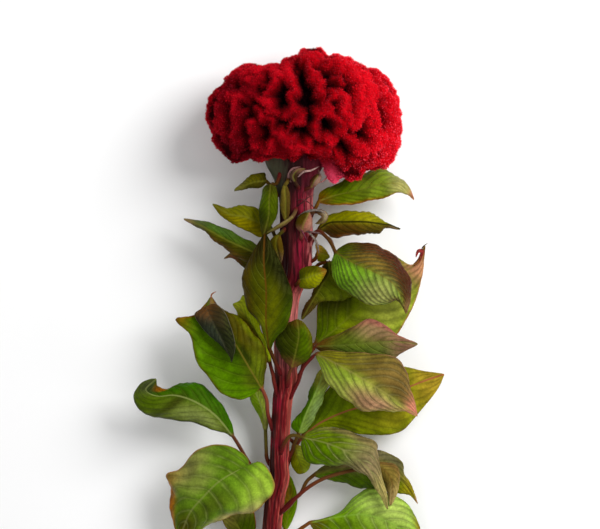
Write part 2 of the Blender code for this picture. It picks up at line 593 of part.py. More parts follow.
def stalk_start(y, degrees):
    """Where a stalk meets the stem, a gap clear of it all round, and the way out of the stem there."""
    angle = math.radians(degrees)
    step = 0.5
    ahead = stem_surface(y + step, angle) - stem_surface(y - step, angle)
    turn = step / stem_section(y)[1]
    side = stem_surface(y, angle + turn) - stem_surface(y, angle - turn)
    out = unit(np.cross(ahead, side))
    one, two = unit(side), unit(ahead)
    start = stem_surface(y, angle)
    rim = [STALK_RADIUS * (math.cos(a) * one + math.sin(a) * two) for a in np.linspace(0, 2 * math.pi, 12)]
    for _ in range(3):
        start = start + out * (GAP - min(clearance(start + r) for r in rim))
    return start, out


def leaf_blade(leaf, rings, halves):
    """A grid of points over the blade, from its base to its tip and from one edge to the other."""
    rib = spline(leaf["rib"], rings)
    ahead = along(rib)
    one, two = leaf["one"], leaf["two"]
    over = np.subtract(two[len(two) // 2], one[len(one) // 2])
    bulge_one, bulge_two = leaf["bulge"]
    if np.cross(over, rib[-1] - rib[0])[2] < 0:
        one, two, bulge_one, bulge_two = two, one, bulge_two, bulge_one
    across = unit(np.subtract(two[0], one[0]))
    across = unit(across - ahead[0] * (across @ ahead[0]))
    ending = unit(np.subtract(two[-1], one[-1]))
    edges = []
    for points, side in ((one, -1), (two, 1)):
        start = rib[0] + side * across * STALK_RADIUS * BLADE_BASE_SHARE
        end = rib[-1] + side * ending * TIP_HALF_WIDTH
        edges.append(spline([start, *points, end], rings))
    height, count = leaf["wave"]
    grid = []
    for i in range(rings):
        t = i / (rings - 1)
        row = []
        swell = height * math.sin(math.pi * t) ** 0.6
        for edge, side, bulge in ((edges[0], -1, bulge_one), (edges[1], 1, bulge_two)):
            reach = edge[i] - rib[i]
            up = side * unit(np.cross(reach, ahead[i]))
            for k in range(halves + 1):
                u = k / halves
                ripple = swell * u * u * math.sin(2 * math.pi * (count * t + WAVE_SHIFT * side))
                lift = bulge * 4 * u * (1 - u) * np.linalg.norm(reach) * math.sin(math.pi * t) ** 0.5
                row.append(rib[i] + reach * u + up * (lift + ripple))
        left, right = row[: halves + 1][::-1], row[halves + 2 :]
        grid.append(left + right)
    return np.array(grid), across


def leaf_rings(leaf, blade_rings, stalk_rings, halves):
    """Rings round the whole leaf: a round stalk that opens into a thin blade."""
    grid, across = leaf_blade(leaf, blade_rings, halves)
    start, out = stalk_start(*leaf["at"])
    route = [*leaf.get("stalk", []), grid[0][halves]]
    bend = start + out * STALK_RISE + (route[0] - start) * STALK_LEAN
    stalk = spline([start, bend, *route], stalk_rings + 1)[:-1]
    ahead = along(np.vstack([stalk, grid[0][halves]]))
    ahead[0] = out
    rings = []
    width = 2 * halves + 1
    for middle, forward in zip(stalk, ahead):
        side = unit(across - forward * (across @ forward))
        up = np.cross(side, forward)
        angles = np.radians(np.linspace(180 - STALK_SIDE_ANGLE, STALK_SIDE_ANGLE, width))
        top = [middle + STALK_RADIUS * (math.cos(a) * side + math.sin(a) * up) for a in angles]
        low = [middle + STALK_RADIUS * (math.cos(a) * side - math.sin(a) * up) for a in angles]
        rings.append(top + low[::-1])
    down_leaf = np.gradient(grid, axis=0)
    over_leaf = np.gradient(grid, axis=1)
    for i, row in enumerate(grid):
        t = i / (blade_rings - 1)
        rib = RIB_THICKNESS + (TIP_THICKNESS - RIB_THICKNESS) * t
        top, low = [], []
        for j, point in enumerate(row):
            u = abs(j - halves) / halves
            body = rib if u == 0 else BLADE_THICKNESS
            thick = body if u < 1 else MARGIN_THICKNESS
            up = unit(np.cross(over_leaf[i][j], down_leaf[i][j]))
            top.append(point + up * thick / 2)
            low.append(point - up * thick / 2)
        rings.append(top + low[::-1])
    return rings, width


def make_leaf(name, leaf, collection, finish):
    rings, width = leaf_rings(leaf, leaf.get("rings", LEAF_RINGS), STALK_RINGS, LEAF_COLUMNS)
    return new_object(name, loft(name, rings, width), collection, finish)


def outline_radius():
    """The crest's reach from its middle for each degree round it, read from its outline."""
    points = np.array(CREST_OUTLINE, float)
    angle = np.unwrap(np.arctan2(points[:, 1], points[:, 0]))
    reach = np.hypot(points[:, 0], points[:, 1])
    angle = np.concatenate([angle - 2 * math.pi, angle, angle + 2 * math.pi])
    return np.interp(np.radians(np.arange(361)), angle, np.tile(reach, 3))


def ridge_distance(points, lines):
    """The distance, seen from above, from each point to the nearest of the lines."""
    best = np.full(len(points), 1e9)
    for line in lines:
        for a, b in zip(line, line[1:]):
            a, b = np.array(a, float), np.array(b, float)
            share = np.clip(((points - a) @ (b - a)) / ((b - a) @ (b - a)), 0, 1)
            best = np.minimum(best, np.linalg.norm(points - a - share[:, None] * (b - a), axis=1))
    return best


def fold_distance(points):
    """The distance to the nearest fold line of a seeded field of waves of one length."""
    draw = random.Random(FOLD_SEED)
    value = np.zeros(len(points))
    slope = np.zeros((len(points), 3))
    for _ in range(FOLD_WAVES):
        way = unit(np.array([draw.gauss(0, 1) for _ in range(3)])) * 2 * math.pi / FOLD_WAVELENGTH
        phase = draw.uniform(0, 2 * math.pi)
        value += np.sin(points @ way + phase)
        slope += np.cos(points @ way + phase)[:, None] * way
    return np.abs(value) / np.maximum(np.linalg.norm(slope, axis=1), FOLD_FLATTEST)


def ribbon(distance):
    """The round back of the ribbon, from 1 on its ridge to 0 beside it."""
    return np.sqrt(np.clip(1 - (distance / RIBBON_HALF_WIDTH) ** 2, 0, 1))


def crest_points(directions):
    """The crest's surface for unit directions from its middle, in millimetres."""
    flat = np.hypot(directions[:, 0], directions[:, 1])
    turn = np.degrees(np.arctan2(directions[:, 1], directions[:, 0])) % 360
    outline = np.interp(turn, np.arange(361), outline_radius())
    angle = np.radians(turn)
    oval = 1 / np.hypot(np.cos(angle) / CREST_HALF_WIDTH, np.sin(angle) / CREST_HALF_LENGTH)
    reach = (oval + (outline - oval) * flat**CREST_EDGE_POWER) * flat**CREST_SQUARENESS
    lift = CREST_HALF_DEPTH * np.sign(directions[:, 2]) * np.abs(directions[:, 2]) ** CREST_SQUARENESS
    shell = np.stack([reach * np.cos(angle), reach * np.sin(angle), lift], axis=1)
    seen = shell[:, :2]
    back = ribbon(fold_distance(shell))
    distance = ridge_distance(seen, CREST_RIDGES)
    front = np.maximum(ribbon(distance), back * np.clip((distance - FILL_STARTS) / FILL_BLEND, 0, 1))
    facing = np.clip((directions[:, 2] - FRONT_STARTS) / FRONT_BLEND, 0, 1)
    relief = FOLD_RELIEF + (1 - FOLD_RELIEF) * facing
    sink = RIBBON_DEPTH * relief * (1 - facing * front - (1 - facing) * back)
    hollow = np.zeros(len(seen))
    for x, y, wide, high, deep in CREST_PITS:
        away = np.hypot((seen[:, 0] - x) / wide, (seen[:, 1] - y) / high) / PIT_SPREAD
        hollow = np.maximum(hollow, deep * np.exp(-(away**2)))
    sink += PIT_DEPTH * hollow * facing
    sink *= 1 - (1 - RIM_RELIEF) * np.clip((flat - RIM_STARTS) / (1 - RIM_STARTS), 0, 1)
    beyond_spot = np.clip((np.hypot(seen[:, 0], seen[:, 1]) - REST_SPOT_REACH) / REST_SPOT_BLEND + 1, 0, 1)
    sink *= np.where(directions[:, 2] < 0, beyond_spot, 1)
    inward = shell / np.linalg.norm(shell, axis=1)[:, None]
    near = np.linalg.norm(shell - np.array(LOBE_ROOT), axis=1) / LOBE_RADIUS
    lobe = np.exp(-(near**4))[:, None] * np.array(LOBE_GROWTH)
    placed = shell - inward * sink[:, None] + lobe + np.array(CREST_MIDDLE)
    placed[:, 2] = np.maximum(placed[:, 2], 0)
    return placed


def make_crest(collection):
    build = bmesh.new()
    bmesh.ops.create_icosphere(build, subdivisions=CREST_DETAIL, radius=1)
    directions = np.array([v.co for v in build.verts])
    for vertex, place in zip(build.verts, crest_points(directions)):
        vertex.co = Vector(place * MM)
    mesh = bpy.data.meshes.new("crest")
    build.to_mesh(mesh)
    build.free()
    crest = new_object("crest", mesh, collection, material("crest_red", (0.5, 0.0, 0.02), 0.9))
    fewer = crest.modifiers.new("fewer faces", "DECIMATE")
    fewer.ratio = CREST_FACES_KEPT
    crest.data = bpy.data.meshes.new_from_object(crest.evaluated_get(bpy.context.evaluated_depsgraph_get()))
    crest.modifiers.remove(fewer)
    for vertex in crest.data.vertices:
        vertex.co.z = max(vertex.co.z, 0)
    return crest


def cut_socket(crest, cutters):
    """Cuts the seat of the stem's neck into the crest, with a gap all round."""
    mesh = loft("neck_cutter", stem_rings(GAP, SOCKET_START), STEM_SIDES)
    cutter = bpy.data.objects.new("neck_cutter", mesh)
    cutters.objects.link(cutter)
    cutter.hide_render = True
    cutter.display_type = "WIRE"
    cut = crest.modifiers.new("neck seat", "BOOLEAN")
    cut.operation = "DIFFERENCE"
    cut.solver = "EXACT"
    cut.object = cutter


def main():
    clear_scene()
    plant = bpy.data.collections.new("cockscomb_celosia")
    cutters = bpy.data.collections.new("cutters")
    bpy.context.scene.collection.children.link(plant)
    bpy.context.scene.collection.children.link(cutters)
    make_stem(plant)
    cut_socket(make_crest(plant), cutters)
    green = material("leaf_green", (0.07, 0.14, 0.01), 0.5)
    dry = material("bract_brown", (0.12, 0.09, 0.04), 0.7)
    for name, leaf in LEAVES.items():
        make_leaf(name, leaf, plant, green if name.startswith("leaf") else dry)


main()
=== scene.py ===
"""A cut cockscomb celosia that lies on a pale floor, seen from above.

+X is to the right, +Y runs from the cut stem towards the crest and +Z is up. The tables are
millimetres and colours are screen values from 0 to 255.
"""

import math
import random

import bmesh
import bpy
import numpy as np
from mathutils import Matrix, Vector


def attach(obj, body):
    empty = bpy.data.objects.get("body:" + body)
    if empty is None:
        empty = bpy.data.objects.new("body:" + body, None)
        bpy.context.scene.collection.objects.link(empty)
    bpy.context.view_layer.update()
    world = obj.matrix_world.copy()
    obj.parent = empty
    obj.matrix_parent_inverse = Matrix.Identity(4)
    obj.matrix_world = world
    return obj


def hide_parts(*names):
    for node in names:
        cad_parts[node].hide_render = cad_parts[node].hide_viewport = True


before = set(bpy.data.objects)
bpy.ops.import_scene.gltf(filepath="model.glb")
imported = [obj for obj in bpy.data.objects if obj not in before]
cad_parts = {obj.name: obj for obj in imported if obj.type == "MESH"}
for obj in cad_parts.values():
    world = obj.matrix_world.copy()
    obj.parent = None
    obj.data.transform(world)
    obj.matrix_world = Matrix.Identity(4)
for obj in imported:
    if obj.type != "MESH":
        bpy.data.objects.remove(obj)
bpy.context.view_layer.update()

MM = 0.001
SPLINE_STEPS = 12
RIPPLE_HEIGHT = 0.6

# The crest
CREST_MIDDLE = (0.0, 0.0, 38.0)
CREST_HALF_WIDTH = 61.0
CREST_HALF_LENGTH = 36.0
CREST_HALF_DEPTH = 39.5
CREST_SQUARENESS = 0.86
CREST_EDGE_POWER = 3
CREST_DETAIL = 7
RIBBON_HALF_WIDTH = 5.2
RIBBON_DEPTH = 8.5
PIT_DEPTH = 8.0
PIT_SPREAD = 1.35

# Seeded folds cover the back, and the front wherever the nearest drawn ridge is too far off
FOLD_WAVELENGTH = 27.0
FOLD_WAVES = 18
FOLD_SEED = 7
FOLD_FLATTEST = 0.12
FOLD_RELIEF = 0.8
FILL_STARTS = 6.5
FILL_BLEND = 2.5
FRONT_STARTS = 0.12
FRONT_BLEND = 0.3
RIM_STARTS = 0.93
RIM_RELIEF = 0.35
REST_SPOT_REACH = 17.0
REST_SPOT_BLEND = 6.0

# A small lobe that hangs beside the neck: where it starts, which way it grows and its radius
LOBE_ROOT = (18.0, -33.0, 5.0)
LOBE_GROWTH = (0.5, -12.5, 3.0)
LOBE_RADIUS = 6.0

# Points of the crest's outline, seen from above
CREST_OUTLINE = [
    (64.4, -8.5), (63, 0), (61, 8), (58, 14.5), (54, 21), (49, 26), (45, 28.5), (41.5, 28), (37, 31.5),
    (32, 32.5), (28, 36), (21.5, 37.5), (16, 36), (13, 36.5), (11.5, 41), (8.5, 43), (2, 43), (-2, 40.5),
    (-3.5, 37), (-10, 35), (-15, 33), (-15.5, 30), (-19, 30.5), (-28, 30), (-33, 30.5), (-40, 30),
    (-45.5, 27.5), (-50, 23), (-53, 19), (-59, 12.5), (-62.5, 8.5), (-64, 1.5), (-64.5, -3.5),
    (-62.5, -8.5), (-59, -14.5), (-60.5, -18), (-58, -22), (-54.5, -26), (-50, -31), (-47, -33),
    (-39.5, -31), (-38.5, -28.5), (-34.5, -31), (-29.5, -33), (-26, -31), (-16.5, -30), (-13, -32.5),
    (0, -33), (11, -31), (21.5, -34.5), (24, -42.5), (30.5, -45), (36, -43.5), (39.5, -38.5),
    (47.5, -36.5), (54, -36.5), (57, -33), (60.5, -28), (62.5, -21.5), (61, -17), (63.5, -11.5),
]

# Ridges of the velvet ribbon on the upper side, seen from above
CREST_RIDGES = [
    [(-32, -3), (-23, -12), (-16, -20)],
    [(-39, 13), (-28, 7), (-20, -2), (-15, -5), (-9, 1), (-3, -3), (-1, -8), (-11, -12)],
    [(-11, -12), (-13, -18), (-12, -25), (-8, -29), (-3, -25), (5, -26), (14, -29)],
    [(5, -7), (6, -15), (10, -20), (21, -23)],
    [(5, -7), (12, -3), (18, -4), (23, -14), (25, -19)],
    [(17, 1), (18, 8), (23, 11), (27, 8), (28, 1), (29, -10)],
    [(3, 27), (8, 22), (11, 18), (12, 11), (9, -1)],
    [(0, 36), (10, 37), (16, 33), (26, 30), (34, 24), (40, 21), (44, 11), (47, -5), (46, -14)],
    [(29, -21), (37, -28), (42, -29), (51, -20)],
    [(-36, -10), (-34, -18), (-34, -28)],
    [(-47, 5), (-47, -8), (-46, -25)],
    [(-57, 3), (-56, -10), (-54, -20)],
    [(-58, 10), (-50, 9), (-43, 8), (-39, 13)],
    [(-28, 8), (-24, 14), (-21, 21), (-13, 26)],
    [(-13, 26), (-8, 18), (-7, 11), (-9, 5)],
    [(-52, 17), (-45, 23), (-35, 26), (-24, 28), (-13, 30)],
    [(-43, 19), (-34, 17), (-31, 20)],
    [(52, 21), (58, 6), (60, -8), (58, -21), (52, -32)],
    [(37, 12), (38, -2), (35, -12)],
    [(-28, -26), (-21, -28), (-15, -28)],
    [(-24, -20), (-21, -27)],
    [(35, -36), (43, -38), (51, -34)],
    [(24, -32), (29, -38)],
]

# Dark pits between the ridges: place, half sizes and how deep, from 0 to 1
CREST_PITS = [
    (3, 4, 6, 5, 1.0), (3, -7, 2.2, 6, 0.9), (-16, 5, 3, 6.5, 1.0), (-4, -16, 4.5, 3.2, 1.0),
    (16, -14, 5, 3.6, 0.9), (-28, -16, 4, 5, 0.8), (9, -24, 3.3, 2, 0.7), (25, -25, 3.3, 4, 0.8),
    (29, -33, 3, 5, 0.6), (-38, -3, 4, 3, 0.8), (16, 24, 5, 4.5, 0.8), (19, 16, 4, 4, 0.8),
    (-27, 19, 2.6, 2.6, 0.6), (-46, 16, 2.6, 2.6, 0.6), (30, 12, 3.3, 2.6, 0.6),
    (-17, -10, 3.3, 2.8, 0.8), (-2, 18, 3.3, 8, 0.6), (-30, 12, 2, 2, 0.5), (-39, 19, 2, 2, 0.4),
    (21, 1, 2.2, 4, 0.6), (32, 0, 2, 3.3, 0.6), (15, 8, 2, 5, 0.6), (40, -14, 2, 4, 0.5),
    (51, 0, 2, 7, 0.5), (-41, -20, 2.6, 6, 0.6), (-52, -5, 2, 8, 0.4),
]

# Stem sections from the crest to the cut end: y, x, half width and half depth
STEM_SECTIONS = [
    (-27, -6.5, 20.0, 10.0), (-34, -6.5, 18.6, 10.0), (-41, -6.4, 15.0, 9.4),
    (-48, -6.2, 12.2, 9.0), (-60, -5.9, 10.6, 8.5), (-96, -5.9, 10.2, 8.0),
    (-110, -8.0, 9.2, 7.6), (-124, -12.0, 8.0, 7.2), (-155, -13.0, 7.2, 6.8),
    (-177, -12.6, 7.2, 6.6), (-190, -14.8, 6.3, 6.2), (-226, -16.9, 6.0, 6.0),
    (-240, -16.6, 6.3, 6.2), (-256, -20.2, 6.2, 6.1), (-290, -23.0, 6.3, 6.3),
    (-335, -26.0, 6.4, 6.4),
]
NECK_HEIGHT = 38.0
NECK_Y = -35.0
CUT_Y = -335.0
STEM_FLUTES = 7
FLUTE_DEPTH = 0.045
CUT_HEIGHT = 6.4 * (1 + FLUTE_DEPTH)
CUT_CORE = 0.86
SURFACE_STEP = 0.5
STEM_RINGS = 220
STEM_AROUND = 128

# Ribs, fine streaks and the scars under the stalks
STEM_RIBS = 18
RIB_RELIEF = 0.16
RIB_WANDER = 0.9
RIB_WANDER_LENGTH = 14.0
RIB_TWIST = 3.0
STREAK_RELIEF = 0.07
STREAK_WAVES = (1.4, 24, 3)
STREAK_STRETCH = (1.0, 0.05, 1.0)
STREAK_WANDER = 0.9
SCAR_HEIGHT = 0.5
SCAR_LENGTH = 3.5
SCAR_WIDTH = 0.5

# Where the stem changes colour, as y, or as distance from the middle of its slim part
SLIM_MIDDLE = -142.0
SLIM_REACH = (34.0, 12.0)
UPPER_STEM = (-122.0, -100.0)
NECK = (-60.0, -46.0)

# The stalks, which are round and start inside the stem
STALK_RADIUS = 1.2
STALK_RINGS = 14
STALK_SUNK = 1.2
STALK_RISE = 0.72
STALK_LEAN = 0.4
STALK_SIDE_ANGLE = 15.0
STALK_DROP = 5.0
SMALL_DROP = 1.2
STALK_FOOT = 0.5
STALK_FOOT_FALL = 5.0

# The blades
LEAF_RINGS = 80
LEAF_HALVES = 12
SMALL_RINGS = 32
SMALL_HALVES = 7
BLADE_BASE_SHARE = 0.9
BLADE_COLOUR_START = 0.04
PLAIN_BULGE = (0.1, 0.1)
SWELL_POWER = 0.6
WAVE_SHIFT = 0.25
FRILL = 0.35
FRILL_COUNT = 3.3
FRILL_SHIFT = 0.4
FRILL_WANDER = 4.0
FRILL_TURNS = 9.0
RIB_THICKNESS = 2.2
TIP_THICKNESS = 0.9
BLADE_THICKNESS = 0.8
MARGIN_THICKNESS = 0.7
TIP_HALF_WIDTH = 0.5
RIB_WIDTH = 1.6
RIB_LINE = (0.9, 0.27)
RIB_CHANNEL = 0.45
RIB_CHANNEL_WIDTH = 1.0
CHANNEL_START = 0.1
VEIN_WIDTH = 0.2
VEIN_WANDER = 0.5
VEIN_BEND = 1.3
VEIN_OFFSET = 20
HALF_BLEND = 0.25
SPOT_POWER = 1.5

# The leaves. Each meets the stem at a y and at an angle round it, in degrees from +X over +Z
LEAVES = {
    "leaf_left_01": dict(at=(-50, 172), wave=(0.5, 2),
        rib=[(-25, -45, 37), (-34, -46, 38), (-46, -51, 34)],
        one=[(-27, -39, 31), (-36, -42, 33), (-42, -47, 33)],
        two=[(-29, -49, 36), (-36, -49.5, 36), (-42, -50.5, 34)]),
    "leaf_left_02": dict(at=(-46, 146), wave=(0.6, 2),
        rib=[(-22, -47, 45), (-23, -57, 46), (-23.5, -68, 44), (-27, -81, 40)],
        one=[(-27, -50, 42), (-29, -60, 42), (-29.5, -68, 41), (-28.5, -76, 40)],
        two=[(-18.5, -50, 45), (-17.5, -60, 45), (-18.5, -68, 43), (-24, -77, 41)]),
    "leaf_left_03": dict(at=(-84, 178), wave=(0.8, 3), bulge=(0.12, 0.12),
        rib=[(-21, -77, 32), (-29, -72.5, 33), (-39, -68, 36), (-49, -66.5, 37), (-60, -60, 36)],
        one=[(-30, -64, 29), (-39, -60.5, 32), (-49, -62.5, 34), (-55, -61, 35)],
        two=[(-29, -81, 30), (-36, -78, 32), (-42, -75, 33), (-49, -71.5, 35), (-55, -66.5, 35)]),
    "leaf_left_04": dict(at=(-102, 182), wave=(0.8, 4), bulge=(0.12, 0.12),
        rib=[(-24, -96, 31), (-36, -90, 33), (-49, -84, 34), (-60, -78, 34), (-69, -73, 33),
             (-79, -69.5, 31)],
        one=[(-31, -87, 29), (-42, -81, 31), (-49, -77, 32), (-59, -73, 32), (-66, -71, 32)],
        two=[(-37, -97.5, 29), (-42, -95.5, 30), (-49, -91, 31), (-55, -86.5, 31), (-60, -82.5, 32),
             (-66, -77, 32)]),
    "leaf_left_05": dict(at=(-107, 200), wave=(0.4, 2), small=True,
        rib=[(-22, -105, 25), (-36, -100, 24), (-47, -92.5, 25), (-53, -95, 24)],
        one=[(-33, -97, 23), (-44, -89.5, 25)],
        two=[(-37, -103, 23), (-47, -95, 24)]),
    "leaf_left_06": dict(at=(-166, 122), wave=(1.2, 4), bulge=(0.12, 0.12),
        rib=[(-23, -154, 37), (-25, -136, 44), (-25, -116, 48), (-26.5, -97, 48), (-26, -79, 44)],
        one=[(-28, -140, 40), (-36, -129, 42), (-40, -116, 43), (-40, -106, 44), (-37, -97.5, 45),
             (-31, -87, 44)],
        two=[(-19, -147, 41), (-12, -139, 45), (-9, -129, 47), (-8, -119, 47), (-11, -109, 46),
             (-16, -97.5, 46), (-22, -85, 45)]),
    "leaf_left_07": dict(at=(-180, 140), wave=(0.8, 3), stalk=[(-21, -171, 28)],
        rib=[(-23, -163, 29), (-28, -149, 31), (-36, -136, 33), (-42, -128, 34), (-47, -125, 33)],
        one=[(-23, -150, 32), (-28.5, -142, 35), (-31, -132, 37), (-36, -122, 37), (-40, -119, 35),
             (-42.5, -122.5, 34)],
        two=[(-31, -156, 27), (-39, -146, 29), (-43, -136, 31), (-44, -130, 32)]),
    "leaf_left_08": dict(at=(-203, 168), wave=(1.2, 5), bulge=(-0.16, 0.08), stalk=[(-25, -188, 27)],
        rib=[(-28, -180, 32), (-36, -166, 39), (-43.5, -153, 42), (-53, -138, 42), (-58, -129, 40),
             (-61, -120, 36)],
        one=[(-36, -185, 31), (-44, -187, 33), (-54, -183, 36), (-62, -173, 38), (-69, -164.5, 39),
             (-72, -155, 40), (-75, -144, 40), (-84, -134.5, 38), (-72, -132, 35), (-65, -125, 35)],
        two=[(-26, -170, 34), (-25, -158, 36), (-29, -149, 37), (-35, -142, 38), (-43, -132.5, 38),
             (-50, -130.5, 38), (-57, -125, 37)]),
    "leaf_left_09": dict(at=(-232, 195), wave=(0.7, 3), small=True, stalk=[(-25.5, -221, 17)],
        rib=[(-26, -208, 17), (-28, -195, 18), (-32, -184, 18), (-36, -174, 18)],
        one=[(-29, -201.5, 17), (-33, -194, 17), (-36.5, -186, 17)],
        two=[(-24, -200, 16), (-25, -190, 16), (-29, -181, 17)]),
    "leaf_left_10": dict(at=(-246, 195), wave=(0.9, 4),
        stalk=[(-32, -236.5, 18), (-38.5, -226.5, 21), (-43, -218, 26)],
        rib=[(-47, -211, 30), (-58.5, -197, 35), (-71.5, -188, 38), (-84, -184, 39), (-95.5, -184.5, 39),
             (-103, -180, 42), (-96, -173, 48)],
        one=[(-49, -200, 30), (-58, -186, 31), (-68, -177.5, 32), (-79, -176, 33), (-89, -180, 36),
             (-95, -178, 44)],
        two=[(-52, -209, 29), (-62, -206, 31), (-75, -201.5, 32), (-86.5, -200, 32), (-99, -198, 34),
             (-108.5, -192, 36), (-111, -184, 40), (-106.5, -176, 45), (-100, -173, 47)]),
    "leaf_left_11": dict(at=(-243, 158), wave=(1.2, 5), bulge=(0.1, 0.12), stalk=[(-28, -237, 24)],
        rib=[(-36, -231, 31), (-45.5, -234, 36), (-56.5, -240.5, 38), (-66, -250, 36), (-75, -261, 31),
             (-82, -278, 22)],
        one=[(-38, -225, 31), (-43.5, -220, 32), (-51, -217, 33), (-60.5, -216.5, 33), (-70, -220, 32),
             (-76, -226, 31), (-82.5, -233, 30), (-90, -236, 28), (-88, -246, 27), (-88, -259, 25),
             (-86, -270, 23)],
        two=[(-30.5, -228, 30), (-24, -233, 29), (-20, -242.5, 28), (-23, -251, 26), (-30.5, -259, 25),
             (-40, -262, 25), (-50, -264, 26), (-60, -268, 26), (-69, -273, 24)]),
    "leaf_left_12": dict(at=(-301, 190), wave=(0.9, 3), stalk=[(-34, -295, 10)],
        rib=[(-37, -288, 11), (-42, -276, 13), (-48, -264, 14), (-54, -252, 13), (-59, -240, 12)],
        one=[(-45, -283, 10), (-52.5, -272, 12), (-57, -260, 12), (-60, -249, 12)],
        two=[(-33.5, -279, 11), (-32.5, -270, 13), (-35, -259, 14), (-44, -248, 13)]),
    "leaf_right_01": dict(at=(-63, 12), wave=(0.9, 4), bulge=(0.08, 0.1),
        rib=[(9, -58, 36), (19.5, -54.5, 32), (34, -51, 28), (49, -47, 26), (62, -47, 26),
             (71.5, -56.5, 24)],
        one=[(10, -52, 33), (19.5, -47, 25), (29, -42, 19), (40, -38, 15), (50.5, -36.4, 15),
             (60.5, -41, 19), (68, -48.5, 23)],
        two=[(13, -60, 35), (26, -60.5, 33), (36, -59, 31), (47.5, -56.5, 29), (54, -55, 28),
             (61, -52, 27), (67, -53.5, 25)]),
    "leaf_right_02": dict(at=(-81, 4), wave=(0.6, 4), bulge=(0.14, 0.14),
        rib=[(9, -76, 36), (16, -72, 38.5), (26, -71.5, 40.5), (39, -71.5, 40.5), (51, -73, 37),
             (56.5, -73.5, 35), (62, -76, 33)],
        one=[(13, -69.5, 35), (18, -66, 34), (27, -64.7, 34), (34.5, -64.4, 34), (42, -65.7, 34),
             (49, -69, 34), (53, -72.5, 35)],
        two=[(13, -78, 33), (18, -81.3, 32), (26, -80.6, 32), (34, -79.3, 32), (47.5, -78.6, 33),
             (52, -75.4, 34)]),
    "leaf_right_03": dict(at=(-79, 28), wave=(1.1, 5), stalk=[(10, -78, 43), (16, -84, 46)],
        rib=[(19.5, -91, 46), (30.5, -97.5, 49), (43.5, -103, 50), (56, -110.5, 46), (62.5, -120, 40),
             (66, -131, 33)],
        one=[(23, -88, 45), (30.5, -85, 45), (44, -86, 45), (52.5, -90, 44), (60, -95.5, 43),
             (65, -103, 41), (69, -112, 39), (68, -123, 35)],
        two=[(17, -98, 43), (18, -106, 41), (21.5, -114, 40), (27, -116, 40), (34.5, -122, 39),
             (43.5, -125, 39), (52, -125, 38), (58, -121.5, 38), (63, -126, 35)]),
    "leaf_right_04": dict(at=(-97, 12), wave=(0.4, 2), small=True,
        rib=[(8, -92, 37), (12, -92, 38), (16, -94, 39)],
        one=[(7, -86, 37), (12, -88, 38)],
        two=[(8.5, -97, 36), (13, -96.5, 38)]),
    "leaf_right_05": dict(at=(-105, 350), wave=(0.8, 4), bulge=(0.12, 0.1), stalk=[(9, -99, 29)],
        rib=[(15, -97, 31), (16, -105, 32), (11, -113, 32), (5, -123, 31), (-2, -135, 30)],
        one=[(23, -98, 30), (31, -105, 29), (33, -117, 28), (25, -122.5, 28), (12, -122.5, 29),
             (3, -130.5, 29)],
        two=[(11, -101, 29), (8, -112, 29), (3, -121.5, 29), (-1.5, -129, 29)]),
    "leaf_right_06": dict(at=(-112, 68), wave=(0.6, 2), bulge=(0.14, 0.14), small=True,
        rib=[(-3, -109, 41), (3, -107, 43), (8.5, -105, 43), (14, -103, 41)],
        one=[(-3, -102.5, 41), (4, -100, 42), (10, -101, 42)],
        two=[(-3.5, -113.5, 40), (2, -115, 40), (9, -112, 41)]),
    "leaf_right_07": dict(at=(-163, 345), wave=(1.2, 5), bulge=(0.08, 0.08), stalk=[(0, -156, 21)],
        rib=[(7, -151, 20), (19.5, -142, 21), (36, -127, 22), (52, -114, 24), (65, -104, 27),
             (73.5, -97.5, 30), (78, -87, 33)],
        one=[(8, -141, 18), (8.5, -124, 17), (16, -111, 17), (29, -98, 19), (42, -91, 22), (52, -89, 24),
             (61, -95, 26), (69, -100, 28), (74, -96, 31)],
        two=[(20, -152, 18), (40, -151, 19), (58, -147, 20), (66.5, -135, 22), (72.5, -122, 25),
             (76.5, -107, 28), (77.5, -97, 31)]),
    "leaf_right_08": dict(at=(-173, 12), wave=(1.0, 4), stalk=[(0, -161, 26)],
        rib=[(7, -152.5, 28), (19.5, -152, 31), (32.5, -151, 32), (49, -149.5, 32), (62, -149.5, 30),
             (73.5, -151, 28)],
        one=[(13, -148, 28), (23, -144, 30), (32.5, -139, 32), (42, -134.5, 33), (52, -138.5, 32),
             (60.5, -145, 30)],
        two=[(13, -157, 26), (26, -160, 27), (42, -164, 27), (54, -162, 28), (63, -157, 28)]),
    "leaf_right_09": dict(at=(-182, 38), wave=(1.2, 5), stalk=[(-1, -166, 33)],
        rib=[(7, -157, 36), (16, -161, 40), (29, -168, 44), (45.5, -178, 45), (60.5, -188, 42),
             (73, -197.5, 36)],
        one=[(16, -155, 38), (29, -156, 40), (45.5, -157, 40), (60, -160, 39), (65.5, -169, 38),
             (69, -181, 37)],
        two=[(8.5, -162, 35), (11.5, -170, 35), (15.5, -177, 36), (21.5, -183, 37), (29, -188, 38),
             (34.5, -193, 38), (43.5, -194, 39), (55, -194, 38), (65, -194.5, 37)]),
    "leaf_right_10": dict(at=(-229, 318), wave=(1.2, 6), bulge=(0.08, 0.08), stalk=[(-7, -221, 10.5)],
        rib=[(-2, -213, 12), (10, -203.5, 16), (26, -196, 18), (43.5, -190.5, 20), (62, -182, 22),
             (78, -175.5, 23), (91, -171, 24)],
        one=[(4.5, -200, 12), (13, -184, 14), (26, -171, 16), (42, -166, 18), (63, -166, 20),
             (78, -169, 22)],
        two=[(4.5, -212, 12), (16, -206, 15), (26, -208, 16), (39, -211, 17), (52, -211, 18),
             (63, -209, 19), (70, -202, 20), (80, -190, 22), (87.5, -180, 23)]),
    "leaf_right_11": dict(at=(-218, 84), wave=(1.1, 5), stalk=[(-8.5, -210.6, 29)],
        rib=[(-1.3, -212, 30), (13, -215, 34), (26, -220, 36), (37, -228, 35), (46, -238, 32),
             (54, -259, 29)],
        one=[(3, -208, 30), (13, -205, 31), (26, -207, 32), (37, -211, 32), (46, -215, 31),
             (47.5, -221, 31), (49, -233, 31), (53, -247, 30)],
